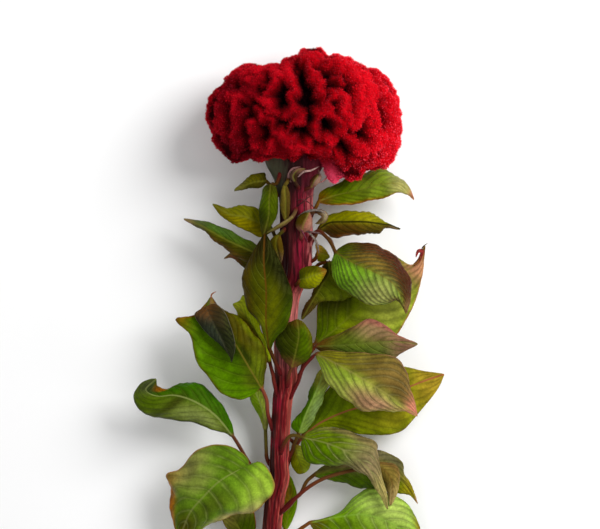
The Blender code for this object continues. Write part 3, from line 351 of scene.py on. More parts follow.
        two=[(-2.6, -217, 29), (-0.6, -225, 28), (4.5, -229, 28), (16, -230, 30), (26, -230, 31),
             (34, -233, 31), (41, -238, 30), (48, -248, 29)]),
    "leaf_right_12": dict(at=(-257, 15), wave=(0.9, 5), bulge=(0.08, 0.08),
        stalk=[(-3, -250, 19), (1, -242, 18)],
        rib=[(6, -237.5, 18), (19.5, -234, 19), (32.5, -233, 19), (47.5, -234, 19), (59, -238, 18),
             (67, -245, 15), (74.5, -257, 12)],
        one=[(12, -232, 17), (23, -227.5, 17), (36, -223, 18), (47.5, -221, 18), (56.5, -224, 19),
             (64, -229, 19), (65, -236.6, 17), (70, -244, 15)],
        two=[(11, -240, 16), (23, -242.5, 14), (36, -246.5, 12), (47.5, -248.5, 12), (57, -249.5, 12),
             (66, -250.5, 12), (71, -253, 12)]),
    "leaf_right_13": dict(at=(-262, 40), wave=(0.5, 3), small=True,
        stalk=[(-6, -252, 23.5), (3, -244.5, 24), (13, -239, 24), (28, -234.5, 25)],
        rib=[(42, -232, 26), (51, -233, 28), (56.5, -240, 28), (57, -248, 26), (56, -257, 24)],
        one=[(48, -228.5, 26), (59, -230, 26), (62, -238, 26), (60.5, -248, 25)],
        two=[(46, -236, 25), (51, -240, 26), (54, -248, 25)]),
    "leaf_right_14": dict(at=(-286, 12), wave=(1.1, 5), bulge=(0.12, 0.1), stalk=[(-8, -277, 16)],
        rib=[(3, -269, 18), (23, -264.5, 22), (39, -263, 24), (55, -268, 22), (66, -276, 18),
             (77, -287, 12)],
        one=[(13, -267, 18), (24, -261.5, 18), (32, -253, 18), (41, -246.5, 19), (53, -249, 19),
             (64, -254, 18), (71, -262, 16), (75.5, -272, 14)],
        two=[(8.5, -277, 15), (19.5, -286, 14), (36, -292.5, 13), (52, -295, 12), (67, -292.5, 11)]),
    "leaf_right_15": dict(at=(-223, 5), wave=(0.9, 4), stalk=[(-7.5, -218, 21)],
        rib=[(-4, -210, 22), (0.6, -197, 25), (6.5, -184, 27), (11, -173, 27), (14, -165, 26)],
        one=[(-9, -205, 22), (-6, -199.5, 23), (0, -193, 24), (3, -182.6, 25), (8, -171, 25)],
        two=[(2, -207, 20), (8.5, -195, 22), (13, -184, 23), (16, -174, 24)]),
    "leaf_right_16": dict(at=(-214, 340), wave=(0.5, 2), small=True,
        rib=[(-7, -218, 16), (-5, -225, 16), (-3, -231, 15), (-1, -237, 14)],
        one=[(0, -220, 15), (3.5, -227.5, 14), (2.5, -234, 13)],
        two=[(-9, -225, 14), (-8.5, -232, 13), (-5, -237, 13)]),
    "leaf_right_17": dict(at=(-281, 320), wave=(0.5, 3), bulge=(0.08, 0.08), small=True,
        rib=[(-13, -275, 6), (-11, -265, 5), (-10, -254, 5), (-11, -244, 5.5), (-12, -236.5, 6.5)],
        one=[(-8, -268, 4), (-5, -256, 4), (-7.5, -244, 5)],
        two=[(-17, -266, 3), (-17, -254, 3), (-15.5, -243, 4)]),
    "leaf_right_18": dict(at=(-174, 80), wave=(0.8, 3), bulge=(0.12, 0.12),
        rib=[(-8.5, -166, 36), (-6, -156, 39), (-4, -145, 41), (-5, -134.5, 41)],
        one=[(-15, -159, 35), (-19, -150, 35.5), (-16, -140, 37)],
        two=[(0.6, -162, 36), (4.5, -155, 38), (4, -145, 39), (-0.6, -137, 40)]),
    "bract_01": dict(at=(-44, 112), wave=(0.3, 2), bulge=(0.15, 0.15), small=True,
        rib=[(-13, -48, 47), (-12.5, -56, 47.5), (-12.5, -65, 46), (-12, -72, 44.5)],
        one=[(-15.5, -54, 47), (-15.5, -64, 45.5)],
        two=[(-10, -54, 47), (-10, -64, 45.5)]),
    "bract_02": dict(at=(-64, 88), wave=(0.2, 2), bulge=(0.15, 0.15), small=True,
        rib=[(-8, -68, 48), (-13, -72, 49.5), (-19, -75.5, 49), (-24.5, -78.5, 48)],
        one=[(-12, -70.5, 49), (-18, -74, 49)],
        two=[(-13, -73.5, 48), (-19.5, -77, 48)]),
    "bract_03": dict(at=(-77, 142), wave=(0.3, 2), bulge=(0.15, 0.15), small=True,
        rib=[(-17, -80, 41), (-18.5, -84, 41), (-17.5, -91, 39), (-15.6, -98, 38)],
        one=[(-22.5, -84, 39), (-20, -91, 38)],
        two=[(-15, -84, 41), (-14, -91, 39.5)]),
    "bract_04": dict(at=(-66, 40), wave=(0.2, 2), small=True,
        rib=[(7, -65, 42), (12, -66, 43), (12, -70, 44), (7, -73, 45)],
        one=[(9, -63.5, 41), (14.5, -66.5, 40), (13, -71.5, 42)],
        two=[(8.5, -66.5, 45), (10.5, -68, 46), (9, -70.5, 46)]),
    "bract_05": dict(at=(-82, 68), wave=(0.3, 2), bulge=(0.12, 0.12), small=True,
        rib=[(-2, -78, 44), (-1, -73, 46), (1, -69, 46.5), (2.5, -65, 46)],
        one=[(-6, -74, 45), (-4, -68, 46)],
        two=[(3, -77, 43), (4.5, -71, 44)]),
    "bract_06": dict(at=(-49, 78), wave=(0.2, 2), bulge=(0.12, 0.12), small=True,
        rib=[(-6.5, -45.5, 50.5), (-7.5, -42, 51.5), (-5, -39, 51.5), (0, -37.5, 50.5)],
        one=[(-9.5, -42, 51), (-6, -37.5, 51)],
        two=[(-5, -43, 51), (-3, -40, 51)]),
    "bract_07": dict(at=(-50, 52), wave=(0.3, 2), bulge=(0.15, 0.15), small=True,
        rib=[(4, -49, 47), (6, -45, 49), (8, -42.5, 49), (9.5, -41, 48)],
        one=[(3.5, -45, 49), (6.5, -41.5, 49)],
        two=[(8, -47.5, 47), (10.5, -43, 47)]),
}

# The flap that the tip of a leaf has folded over itself, painted dark as painted shade inside the fold
FLAP = dict(wave=(0.4, 2), bulge=(0.12, 0.12),
    rib=[(-64, -126.5, 39), (-59, -137, 43), (-53, -149, 45), (-47.4, -162, 42)],
    one=[(-71.5, -131.3, 38.5), (-67, -139.4, 41), (-61.5, -145, 42.5), (-54, -151.6, 43.5),
         (-49, -157.6, 42.5)],
    two=[(-58, -124.5, 40), (-52, -130, 42), (-48.5, -138, 43.5), (-46, -146, 44), (-45.3, -153, 43.5)])

# Thin dry strips round the neck and at curled leaf tips: points, half width and shade
WISPS = [
    ([(-8, -47, 45), (-10.5, -43, 48), (-8.5, -38, 50), (-3, -36, 49)], 0.9, (140, 100, 96)),
    ([(-5, -43, 46), (-1, -39.5, 49), (4, -38.5, 49.5), (9, -36, 48)], 0.7, (188, 150, 142)),
    ([(2, -51, 45), (6, -47, 48), (9.5, -42, 49), (8.5, -38, 49)], 0.8, (110, 76, 66)),
    ([(-6, -58, 43), (-2, -57, 46), (3, -59.5, 45.5), (7, -64, 42)], 0.4, (84, 34, 38)),
    ([(-7, -63, 42), (-3, -60, 45.5), (2, -56, 46), (6, -54, 44)], 0.35, (60, 28, 26)),
    ([(-5, -68.5, 43), (1, -65, 46.5), (8, -64, 46), (13, -66.5, 43), (12, -72, 40)],
     0.8, (104, 94, 86)),
    ([(-3, -78, 43), (4, -78, 45), (11, -79.5, 44), (17, -83, 41), (20, -91, 38)], 0.6, (92, 68, 66)),
    ([(1, -77, 43), (5, -81, 44), (8, -86, 42), (9, -92, 39)], 0.8, (120, 106, 96)),
    ([(-4, -74, 44), (-1, -79, 46), (2, -85, 44)], 0.45, (104, 44, 60)),
    ([(5, -45, 46), (10, -46, 46), (14, -43, 44), (17, -37, 40)], 0.5, (150, 96, 92)),
    ([(71, -100, 29), (75, -96, 31), (76.5, -91, 33), (73.5, -90.5, 36), (72, -94.5, 36)],
     1.6, (128, 32, 30)),
    ([(76, -92, 33), (76.5, -88, 34), (80, -85, 34)], 0.4, (60, 32, 26)),
    ([(-61, -122, 36), (-60.5, -118.5, 37.5), (-57.5, -116.5, 38)], 0.5, (140, 84, 56)),
]
WISP_RINGS = 20
WISP_SIDES = 10
WISP_THICKNESS = 0.28
WISP_CUP = 0.3
WISP_UP = (0.3, 0.1, 1.0)
WISP_START = 0.15
WISP_POINT = 0.12

# Finer unevenness of the crest. Each bump has its height, length, count of waves and seed
WIGGLE = 1.6
WIGGLE_LENGTH = 9.0
WIGGLE_WAVES = 30
WIGGLE_SEEDS = (11, 12, 13)
CREST_BUMPS = [(0.8, 5.0, 40, 21), (0.3, 2.8, 40, 22)]

# How dark the painted shade in the drawn pits is, and how the ground under the hairs is painted: some of
# the lobe's pink, darker than the hair tips as painted shade, and without their highlights
PIT_SHADE = 0.8
GROUND_LOBE = 0.9
GROUND_TIP = 0.35
GROUND_SHADE = 0.5

# The hairs of the velvet
VELVET_PIECES = 2
HAIRS_A_PIECE = 65000
VELVET_CLEAR = 2.5
VELVET_ROOM = 0.7
HAIR_SPREAD = 0.45
HAIR_LENGTH = (0.9, 2.0)
HAIR_SUNK = 0.3
HAIR_RADIUS = 0.15
HAIR_TIPS = (0.0, 0.0, 0.0, 1.0)

# The florets, thicker where the crest turns away from above and on its right
FLORETS = 16000
FLORET_SEED = 31
FLORET_WIDTH = 0.34
FLORET_HEIGHT = 0.95
FLORET_SIZES = (0.7, 1.3)
FLORET_WAIST = 0.6
FLORET_POINT = 0.7
FLORET_SPREAD = 0.3
FLORET_EVEN = 0.12
FLORET_RIGHT = 0.5
FLORET_RIM = (0.25, 0.85)
FLORET_DEEPEST = 0.3
FLORET_TIPS = (0.0, 0.8, 0.8, 0.8, 0.8, 1.0)
# How strong the florets' painted tip highlights are: at random, and weaker away from the outline
FLORET_HIGHLIGHT_RANGE = (0.3, 1.0)
FLORET_INNER_HIGHLIGHT = 0.55
FLORET_DEPTH_SHARE = 0.5

# How fine the noise in the materials is, per metre
STREAK_SCALE = 700.0
BAND_SCALE = 45.0
STEM_GRAIN_SCALE = 1500.0
WANDER_SCALE = 60.0
BREAK_SCALE = 150.0
MOTTLE_SCALE = 90.0
SPECK_SCALE = 700.0
NET_SCALE = 700.0
WISP_SCALE = 900.0
PATCH_SCALE = 55.0
CREST_GRAIN_SCALE = 1400.0
FLOOR_SCALE = 3.0

# The bumps of each material: their height in metres and their strength
STEM_BUMP = (0.0004, 0.5)
LEAF_BUMP = (0.0005, 0.7)
WISP_BUMP = (0.0004, 0.6)
CREST_BUMP = (0.0006, 0.7)

# How the crest's painted light and shade go from its shaded left to its lit right, in metres, and a little
# with y and in patches
CREST_TILT = 0.35
CREST_PATCHES = 0.05
CREST_LEFT_SPAN = (-0.06, 0.02)
CREST_RIGHT_SPAN = (0.0, 0.05)
CREST_HIGHLIGHT_SPAN = (-0.05, 0.06)

# Colours of the crest, with its painted light and shade
# The left, middle and right reds are painted shade on the crest's left and painted light on its right
CREST_SHADED_LEFT = (128, 0, 16)
CREST_MIDDLE_RED = (184, 0, 16)
CREST_LIT_RIGHT = (222, 6, 24)
# Painted highlights along the ridge tops and on the hair tips
CREST_RIDGE_HIGHLIGHT = (250, 18, 40)
CREST_TIP_HIGHLIGHT = (255, 104, 130)
# Painted shade in the pits
CREST_PIT_SHADE = (12, 0, 4)
LOBE_PINK = (255, 84, 122)
SHEEN = (255, 130, 150)

# Colours of the stem, with its painted light and shade
# Painted shade on the stem's left and painted light on its right, with its own red between
STEM_SHADED_LEFT = (54, 14, 8)
STEM_MIDDLE = (112, 18, 24)
STEM_LIT_RIGHT = (176, 78, 66)
STEM_RED = (148, 8, 44)
STEM_STREAK = (164, 90, 78)
# Pink round the slim part, and also a painted highlight along the upper stem's right edge
STEM_PINK = (204, 118, 114)
# The dark of the upper stem and of its streaks, also laid as painted shade in its furrows
STEM_DARK = (30, 6, 8)
STEM_MAGENTA = (122, 14, 42)
STEM_SHINE = (255, 170, 170)
# The neck's colours: its own green and red, and the dark one is painted shade under the crest
NECK_GREEN = (58, 64, 46)
NECK_SHADE = (26, 10, 12)
NECK_RED = (92, 14, 34)
PITH = (178, 184, 130)

# Shades of the leaves, and what the look of a leaf holds unless it has its own
MAROON = (78, 36, 16)
STALK_FOOT_RED = (92, 18, 26)
LEAF_SHINE = (196, 206, 84)
# In a look, the vein shading darkens the blade along its veins as painted shade, and light scales the
# whole leaf lighter or darker
PLAIN_LOOK = dict(
    light=1.0, quilt=0.35, veins=(9, 0.34), vein=(112, 120, 34), vein_share=0.12, vein_dark=0.86,
    rib=(112, 112, 36), rib_share=0.4, edge=(112, 58, 26), edge_share=0.35, stalk=(98, 36, 30),
)


def look(one, two, *spots, **more):
    """A leaf's colours: its two halves, then spots of another shade. Both hold the leaf's own colours and
    also painted light and shade: halves and spots lighter or darker where folds face towards or away from
    the light, painted shadows where other leaves or its folds lie over it, and painted highlights. Each
    spot has its place along and across the leaf, its length and width in the same shares, its shade and
    its strength."""
    return {**PLAIN_LOOK, "one": one, "two": two, "spots": spots, **more}


LOOKS = {
    "leaf_left_01": look((82, 80, 8), (60, 56, 6), (0.0, 0, 0.25, 2, (50, 42, 8), 0.9),
        (0.8, 0, 0.2, 2, (96, 90, 40), 0.6), stalk=(70, 50, 14), light=1.4),
    "leaf_left_02": look((82, 104, 2), (74, 90, 2), (0.0, 0, 0.22, 2, (44, 38, 2), 0.95),
        (0.62, -0.5, 0.22, 0.8, (42, 52, 4), 0.85), (1.0, 0, 0.28, 2, (54, 38, 14), 0.9),
        stalk=(64, 40, 14), light=0.8),
    "leaf_left_03": look((108, 110, 8), (116, 106, 0), (0.0, 0, 0.22, 2, (36, 36, 6), 0.95),
        (0.6, -0.1, 0.3, 0.4, (88, 86, 4), 0.7), (1.0, 0, 0.25, 2, (78, 68, 12), 0.8), stalk=(50, 34, 10)),
    "leaf_left_04": look((58, 82, 10), (62, 58, 4), (0.0, 0, 0.3, 2, (42, 36, 4), 0.9),
        (0.6, -0.6, 0.2, 0.4, (60, 88, 34), 0.7), (0.55, 0.8, 0.3, 0.3, (90, 60, 24), 0.7),
        (0.85, 0, 0.12, 2, (76, 78, 50), 0.7), (1.0, 0, 0.1, 2, (136, 104, 86), 0.9), stalk=(50, 36, 10)),
    "leaf_left_05": look((44, 42, 4), (46, 46, 4), (1.0, 0, 0.35, 2, (136, 84, 60), 0.9)),
    "leaf_left_06": look((68, 66, 0), (56, 74, 0), (1.0, 0, 0.4, 2, (26, 16, 6), 0.98),
        (0.64, 0.65, 0.24, 0.6, (14, 12, 4), 0.97), (0.14, -0.4, 0.2, 0.7, (116, 124, 14), 0.9),
        (0.36, 0.2, 0.26, 0.4, (98, 100, 2), 0.8), (0.55, -0.85, 0.3, 0.25, (70, 54, 6), 0.8),
        (0.6, -0.3, 0.16, 0.3, (62, 70, 2), 0.5), rib=(92, 56, 14), rib_share=0.75, edge=MAROON,
        vein_dark=0.95, light=0.84, stalk=(66, 34, 14)),
    # leaf_left_07 is painted much lighter, as painted light that lifts the shadow leaf_left_06 casts on it
    "leaf_left_07": look((106, 118, 6), (66, 60, 4), (0.1, -0.6, 0.2, 0.6, (118, 128, 16), 0.8),
        (0.95, 0, 0.2, 2, (100, 104, 20), 0.8), (0.5, 0.4, 0.3, 0.4, (54, 44, 4), 0.7), light=2.1),
    # leaf_left_08: its near-black spot at 0.68 along is a painted shadow of the flap folded over it
    "leaf_left_08": look((80, 120, 0), (68, 60, 2), (0.68, -0.2, 0.28, 0.22, (26, 34, 16), 0.97),
        (0.2, 0.35, 0.2, 0.5, (100, 116, 14), 0.85), (0.52, 0.92, 0.2, 0.2, (112, 122, 6), 0.8),
        (0.36, 0.14, 0.12, 0.16, (24, 34, 4), 0.9), (0.97, 0.1, 0.07, 0.6, (176, 128, 84), 0.9),
        (0.86, -0.95, 0.16, 0.25, (150, 70, 14), 0.8), (0.88, 0.4, 0.12, 0.4, (92, 44, 16), 0.8),
        (0.12, -0.2, 0.1, 0.3, (104, 112, 20), 0.6), rib=(128, 112, 40), rib_share=0.6,
        stalk=(128, 62, 44), light=0.7),
    "leaf_left_09": look((96, 124, 14), (116, 134, 40), (0.0, 0, 0.25, 2, (128, 124, 58), 0.8),
        (1.0, 0, 0.12, 2, (120, 66, 26), 0.8), (0.5, 0.6, 0.1, 0.4, (150, 166, 60), 0.7),
        rib=(150, 156, 84), stalk=(82, 74, 30), light=1.2),
    # leaf_left_10: its dark spot at 0.55 along is a painted shadow of its fold
    "leaf_left_10": look((46, 88, 0), (88, 104, 24), (0.3, 0.5, 0.2, 0.4, (122, 134, 66), 0.95),
        (0.55, 0.35, 0.05, 0.6, (34, 34, 4), 0.85), (0.7, 0.5, 0.12, 0.6, (70, 94, 2), 0.85),
        (0.93, 0.3, 0.13, 1.0, (62, 70, 38), 0.95), (0.84, -0.85, 0.11, 0.4, (160, 92, 14), 0.95),
        (0.3, 0.96, 0.3, 0.1, (54, 60, 20), 0.8), rib=(140, 148, 84), rib_share=0.55, edge=(70, 62, 22),
        stalk=(92, 50, 34), light=0.92),
    "leaf_left_11": look((92, 128, 20), (96, 132, 24), (0.5, -0.8, 0.2, 0.35, (140, 136, 72), 0.85),
        (0.3, 0.78, 0.18, 0.35, (150, 180, 54), 0.85), (0.58, 0.9, 0.2, 0.22, (180, 164, 104), 0.85),
        (0.78, -0.9, 0.2, 0.25, (176, 98, 26), 0.9), (0.9, 0.1, 0.2, 0.7, (68, 60, 2), 0.9),
        (0.55, 0.25, 0.2, 0.25, (72, 82, 14), 0.7), (0.45, -0.3, 0.16, 0.2, (128, 132, 62), 0.6),
        (0.14, -0.3, 0.12, 0.5, (66, 94, 8), 0.7), veins=(8, 0.32), vein=(164, 176, 92), vein_share=0.2,
        vein_dark=0.72, rib=(150, 148, 88), rib_share=0.3, edge=(176, 112, 66), edge_share=0.6,
        stalk=(112, 74, 50), quilt=0.5, light=0.88),
    "leaf_left_12": look((112, 104, 36), (50, 62, 0), (0.1, 0, 0.4, 2, (36, 50, 0), 0.9),
        (0.6, 0, 0.15, 2, (136, 126, 64), 0.7), edge=(130, 44, 24), edge_share=0.8, light=1.5),
    "leaf_right_01": look((92, 116, 0), (80, 96, 0), (0.0, 0, 0.14, 2, (94, 44, 0), 0.85),
        (0.58, -0.2, 0.2, 1.0, (120, 142, 34), 0.85), (0.85, 0, 0.14, 1.2, (176, 170, 100), 0.85),
        (1.0, 0, 0.08, 2, (196, 100, 96), 0.9), (0.3, 0.95, 0.5, 0.12, (128, 84, 10), 0.8),
        edge=(160, 66, 50), edge_share=0.6, stalk=(96, 62, 14), light=0.82),
    # leaf_right_02: its darker second half is its own brown with painted shade
    "leaf_right_02": look((104, 104, 0), (72, 50, 10), (0.62, -0.5, 0.2, 0.6, (124, 120, 6), 0.9),
        (0.04, 0, 0.08, 2, (92, 78, 18), 0.7), (0.35, 0.88, 0.2, 0.22, (136, 76, 30), 0.8),
        (0.7, 0.4, 0.2, 0.4, (84, 74, 16), 0.6), (0.97, 0, 0.1, 2, (104, 86, 64), 0.85), rib=(34, 30, 2),
        rib_share=0.95, edge=(60, 44, 10), stalk=(92, 54, 20)),
    # leaf_right_03: its dark first half is its own purple-brown with painted shade, and its pale spot at
    # 0.6 along is a painted highlight
    "leaf_right_03": look((88, 54, 24), (118, 166, 34), (0.06, -0.5, 0.18, 0.7, (60, 80, 0), 0.9),
        (0.6, -0.75, 0.35, 0.45, (84, 36, 28), 0.95), (0.35, -0.3, 0.2, 0.25, (126, 104, 40), 0.8),
        (0.6, 0.55, 0.2, 0.6, (172, 170, 96), 0.85), (0.8, 0.55, 0.1, 0.4, (104, 66, 46), 0.85),
        (0.97, 0, 0.1, 2, (160, 120, 76), 0.9), veins=(11, 0.6), vein=(182, 182, 112), vein_share=0.12,
        vein_dark=0.5, rib=(110, 84, 30), edge=(134, 74, 50), stalk=(78, 46, 20), quilt=0.8, light=0.8),
    "leaf_right_04": look((96, 84, 6), (82, 80, 2), (0.3, -0.6, 0.2, 0.6, (132, 98, 36), 0.8),
        (0.0, 0, 0.2, 2, (110, 50, 16), 0.7), stalk=(84, 44, 18), light=1.4),
    "leaf_right_05": look((84, 96, 6), (52, 50, 2), (0.9, 0, 0.3, 2, (62, 38, 16), 0.9),
        (0.3, 0.9, 0.5, 0.2, (92, 46, 20), 0.8), edge=MAROON, stalk=(96, 48, 20)),
    "leaf_right_06": look((70, 70, 0), (112, 114, 2), (0.0, -0.2, 0.25, 1, (48, 54, 0), 0.9),
        (0.4, 0.0, 0.2, 0.3, (124, 130, 10), 0.7), (1.0, 0, 0.22, 2, (120, 70, 20), 0.9),
        edge=(130, 60, 20), stalk=(90, 50, 16)),
    # leaf_right_07: its dark spot at 0.32 along is a painted shadow of the leaf lying over it
    "leaf_right_07": look((98, 116, 0), (108, 124, 6), (0.05, 0, 0.15, 2, (62, 84, 0), 0.85),
        (0.32, -0.6, 0.16, 0.5, (34, 32, 4), 0.9), (0.6, 0.5, 0.25, 0.5, (146, 152, 58), 0.85),
        (0.86, 0.3, 0.1, 1.2, (190, 128, 96), 0.9), (1.0, 0, 0.09, 2, (104, 30, 22), 0.95),
        (0.2, 0.5, 0.16, 0.3, (132, 134, 10), 0.7), vein=(150, 160, 60), vein_share=0.14, vein_dark=0.74,
        rib=(120, 126, 34), edge=(170, 76, 50), edge_share=0.6, stalk=(100, 60, 24), light=1.15),
    "leaf_right_08": look((94, 92, 24), (88, 104, 34), (0.04, 0, 0.14, 2, (94, 54, 14), 0.85),
        (0.35, -0.2, 0.2, 0.5, (100, 122, 26), 0.8), (0.6, -0.6, 0.2, 0.5, (156, 124, 88), 0.9),
        (0.9, 0, 0.2, 2, (142, 98, 80), 0.9), (0.7, -0.92, 0.3, 0.2, (166, 92, 84), 0.85), vein_share=0.3,
        rib=(104, 116, 44), edge=(160, 100, 84), stalk=(104, 50, 30), light=0.75),
    "leaf_right_09": look((98, 90, 28), (146, 172, 50), (0.1, -0.4, 0.18, 0.7, (108, 104, 14), 0.85),
        (0.62, 0.6, 0.25, 0.5, (172, 126, 96), 0.95), (0.7, -0.6, 0.3, 0.6, (106, 80, 40), 0.85),
        (0.25, 0.8, 0.14, 0.2, (178, 184, 86), 0.7), (0.96, 0, 0.12, 2, (186, 112, 92), 0.9),
        veins=(8, 0.5), vein=(188, 176, 112), vein_share=0.16, vein_dark=0.66, rib=(150, 140, 70),
        quilt=0.5, edge=(168, 104, 90), stalk=(92, 30, 30)),
    # leaf_right_10: its dark spot at 0.6 along is painted shade of the leaf over it
    "leaf_right_10": look((88, 108, 6), (104, 118, 4), (0.6, -0.4, 0.2, 0.6, (76, 64, 2), 0.85),
        (0.72, 0.6, 0.3, 0.4, (130, 120, 22), 0.8), (0.93, 0, 0.15, 2, (152, 126, 34), 0.9),
        (0.2, -0.6, 0.1, 0.4, (62, 84, 2), 0.7), rib=(164, 84, 60), rib_share=0.8, edge=(140, 80, 30),
        stalk=(120, 58, 40), light=1.2),
    "leaf_right_11": look((84, 104, 6), (82, 114, 0), (0.66, 0, 0.24, 2, (136, 116, 84), 0.9),
        (0.92, 0, 0.2, 2, (168, 152, 88), 0.95), (0.4, -0.88, 0.3, 0.2, (112, 94, 60), 0.8),
        (0.3, 0.5, 0.1, 0.3, (60, 84, 0), 0.7), veins=(7, 0.5), vein=(176, 176, 108), vein_share=0.35,
        vein_dark=0.66, rib=(140, 140, 76), quilt=0.6, edge=(110, 86, 60), stalk=(84, 66, 26)),
    "leaf_right_12": look((82, 80, 34), (58, 80, 4), (0.35, -0.5, 0.14, 0.6, (150, 128, 88), 0.8),
        (0.66, 0.1, 0.05, 0.3, (220, 96, 16), 0.95), (0.5, -0.8, 0.3, 0.25, (66, 60, 44), 0.8),
        (0.9, 0, 0.14, 2, (124, 112, 14), 0.85), (1.0, 0, 0.05, 2, (176, 120, 100), 0.8),
        stalk=(86, 56, 24), light=1.6),
    "leaf_right_13": look((110, 92, 38), (96, 80, 30), (0.95, 0, 0.3, 2, (160, 138, 84), 0.85),
        (0.3, -0.8, 0.3, 0.3, (86, 56, 30), 0.7), rib=(96, 62, 26), stalk=(98, 60, 32), light=1.3),
    "leaf_right_14": look((104, 148, 10), (92, 124, 8), (0.04, 0, 0.12, 2, (86, 72, 4), 0.85),
        (0.6, -0.5, 0.25, 0.6, (158, 178, 84), 0.9), (0.3, -0.8, 0.16, 0.3, (126, 160, 60), 0.7),
        (0.9, -0.9, 0.12, 0.3, (130, 100, 20), 0.8), veins=(9, 0.4), vein=(180, 196, 110), vein_share=0.25,
        vein_dark=0.74, rib=(130, 170, 60), edge=(120, 104, 30), stalk=(112, 66, 30)),
    "leaf_right_15": look((60, 96, 0), (116, 142, 56), (0.88, 0, 0.2, 2, (140, 132, 50), 0.75),
        (0.4, 0.6, 0.2, 0.4, (120, 142, 84), 0.7), (0.6, -0.6, 0.1, 0.4, (40, 58, 10), 0.8),
        rib=(132, 156, 70), rib_share=0.6, stalk=(96, 66, 30)),
    "leaf_right_16": look((140, 154, 44), (108, 94, 6), (0.65, 0, 0.3, 2, (98, 110, 4), 0.85),
        (0.0, 0, 0.2, 2, (96, 50, 14), 0.8), edge=(112, 52, 20), stalk=(88, 40, 20), light=1.8),
    "leaf_right_17": look((74, 104, 0), (74, 98, 0), (0.65, 0.4, 0.3, 1, (104, 66, 14), 0.8),
        (0.3, -0.4, 0.3, 0.3, (58, 80, 0), 0.6), edge=(176, 84, 50), edge_share=0.9, light=1.4),
    # leaf_right_18: its dark first half is painted shade
    "leaf_right_18": look((44, 50, 2), (66, 88, 0), (0.0, 0, 0.22, 2, (98, 58, 34), 0.9),
        (0.45, -0.3, 0.2, 0.6, (48, 58, 2), 0.7), (0.97, 0, 0.14, 2, (86, 60, 14), 0.85),
        (0.7, 0.9, 0.3, 0.2, (100, 92, 14), 0.6), edge=MAROON, stalk=(96, 50, 34), light=0.85),
    "bract_01": look((108, 92, 30), (86, 66, 22), vein_share=0.15, stalk=(100, 84, 30), light=0.85),
    "bract_02": look((122, 100, 64), (88, 64, 38), (1.0, 0, 0.3, 2, (84, 74, 50), 0.8), stalk=(90, 66, 40),
        light=0.9),
    "bract_03": look((72, 64, 4), (78, 58, 8), (1.0, 0, 0.35, 2, (96, 74, 52), 0.9), stalk=(60, 54, 12),
        light=1.3),
    "bract_04": look((124, 100, 66), (104, 78, 48), (0.45, 0, 0.2, 0.6, (176, 158, 132), 0.8),
        (0.0, 0, 0.2, 2, (96, 50, 40), 0.7), stalk=(96, 60, 40), light=0.6),
    "bract_05": look((72, 54, 4), (166, 104, 84), (0.1, 0, 0.2, 2, (140, 88, 72), 0.8),
        (0.5, 0.75, 0.3, 0.3, (200, 140, 120), 0.7), stalk=(120, 66, 54), light=0.62),
    "bract_06": look((92, 64, 54), (62, 34, 22), (0.8, 0, 0.3, 2, (146, 96, 84), 0.85), stalk=(54, 30, 22),
        light=0.55),
    "bract_07": look((80, 36, 24), (170, 130, 110), (0.0, 0, 0.3, 2, (116, 52, 50), 0.85),
        stalk=(84, 36, 30), light=0.5),
}

# The flap's dark greens are painted shade inside the fold over the leaf's own green
FLAP_LOOK = look((34, 40, 32), (22, 26, 14), (0.0, 0, 0.24, 2, (92, 56, 26), 0.9),
    (0.3, 0.5, 0.2, 0.4, (50, 40, 24), 0.7), (0.9, 0, 0.2, 1, (30, 34, 16), 0.8), rib=(60, 58, 44),
    edge=(120, 112, 96), edge_share=0.7, vein_share=0.2, vein=(74, 74, 60))

# The floor, the lights as (name, place, size, power) and the camera, in metres
FLOOR_LIGHT = (252, 252, 252)
FLOOR_DARK = (249, 249, 249)
AIM = (0.0, -0.12, 0.03)
LIGHTS = [
    ("key", (0.8, 0.45, 0.95), 0.9, 18.5),
    ("fill", (-0.9, -0.2, 1.3), 1.4, 3.0),
    ("low_right", (1.1, -0.7, 0.5), 0.8, 3.0),
]
SKY = 0.43
FLOOR_REACH = 4.0
FLOOR_DROP = 0.0002
SENSOR = 36.0
VIEW_WIDTH = 0.390
VIEW_PLANE = 0.035
CAMERA_DISTANCE = 1.4
CAMERA_OVER = (-0.00325, -0.0991)


def linear(colour):
    """A screen colour from 0 to 255 as linear light."""
    share = np.array(colour, float) / 255
    return np.where(share <= 0.04045, share / 12.92, ((share + 0.055) / 1.055) ** 2.4)


def solid(colour):
    return (*linear(colour), 1)


def spline(points, count):
    """Reads count points, evenly spread by length, from a smooth curve through the points."""
    given = np.array(points, float)
    ends = np.vstack([2 * given[0] - given[1], given, 2 * given[-1] - given[-2]])
    fine = []
    for a, b, c, d in zip(ends, ends[1:], ends[2:], ends[3:]):
        square, cube = 2 * a - 5 * b + 4 * c - d, 3 * b - a - 3 * c + d
        for t in np.arange(SPLINE_STEPS) / SPLINE_STEPS:
            fine.append(0.5 * (2 * b + (c - a) * t + square * t**2 + cube * t**3))
    fine = np.array([*fine, given[-1]])
    length = np.concatenate([[0], np.cumsum(np.linalg.norm(np.diff(fine, axis=0), axis=1))])
    wanted = np.linspace(0, length[-1], count)
    return np.stack([np.interp(wanted, length, fine[:, k]) for k in range(given.shape[1])], axis=1)


def unit(v):
    return v / max(float(np.linalg.norm(v)), 1e-9)


def units(rows):
    return rows / np.maximum(np.linalg.norm(rows, axis=-1, keepdims=True), 1e-9)


def along(points):
    """The direction of a row of points at each of them."""
    return units(np.gradient(points, axis=0))


def ripples(points, wavelength, waves, seed):
    """Smooth seeded unevenness at the points, mostly between -1 and 1."""
    draw = np.random.default_rng(seed)
    ways = units(draw.normal(size=(waves, points.shape[1]))) * 2 * math.pi / wavelength
    phases = draw.uniform(0, 2 * math.pi, waves)
    return np.sin(points @ ways.T + phases).sum(axis=1) * math.sqrt(2 / waves) * RIPPLE_HEIGHT


def ramp(value, start, length):
    """Goes evenly from 0 at the start to 1 a length beyond it."""
    return np.clip((value - start) / length, 0, 1)


def between(value, low, high):
    """Goes smoothly from 0 at low to 1 at high."""
    share = ramp(value, low, high - low)
    return share * share * (3 - 2 * share)


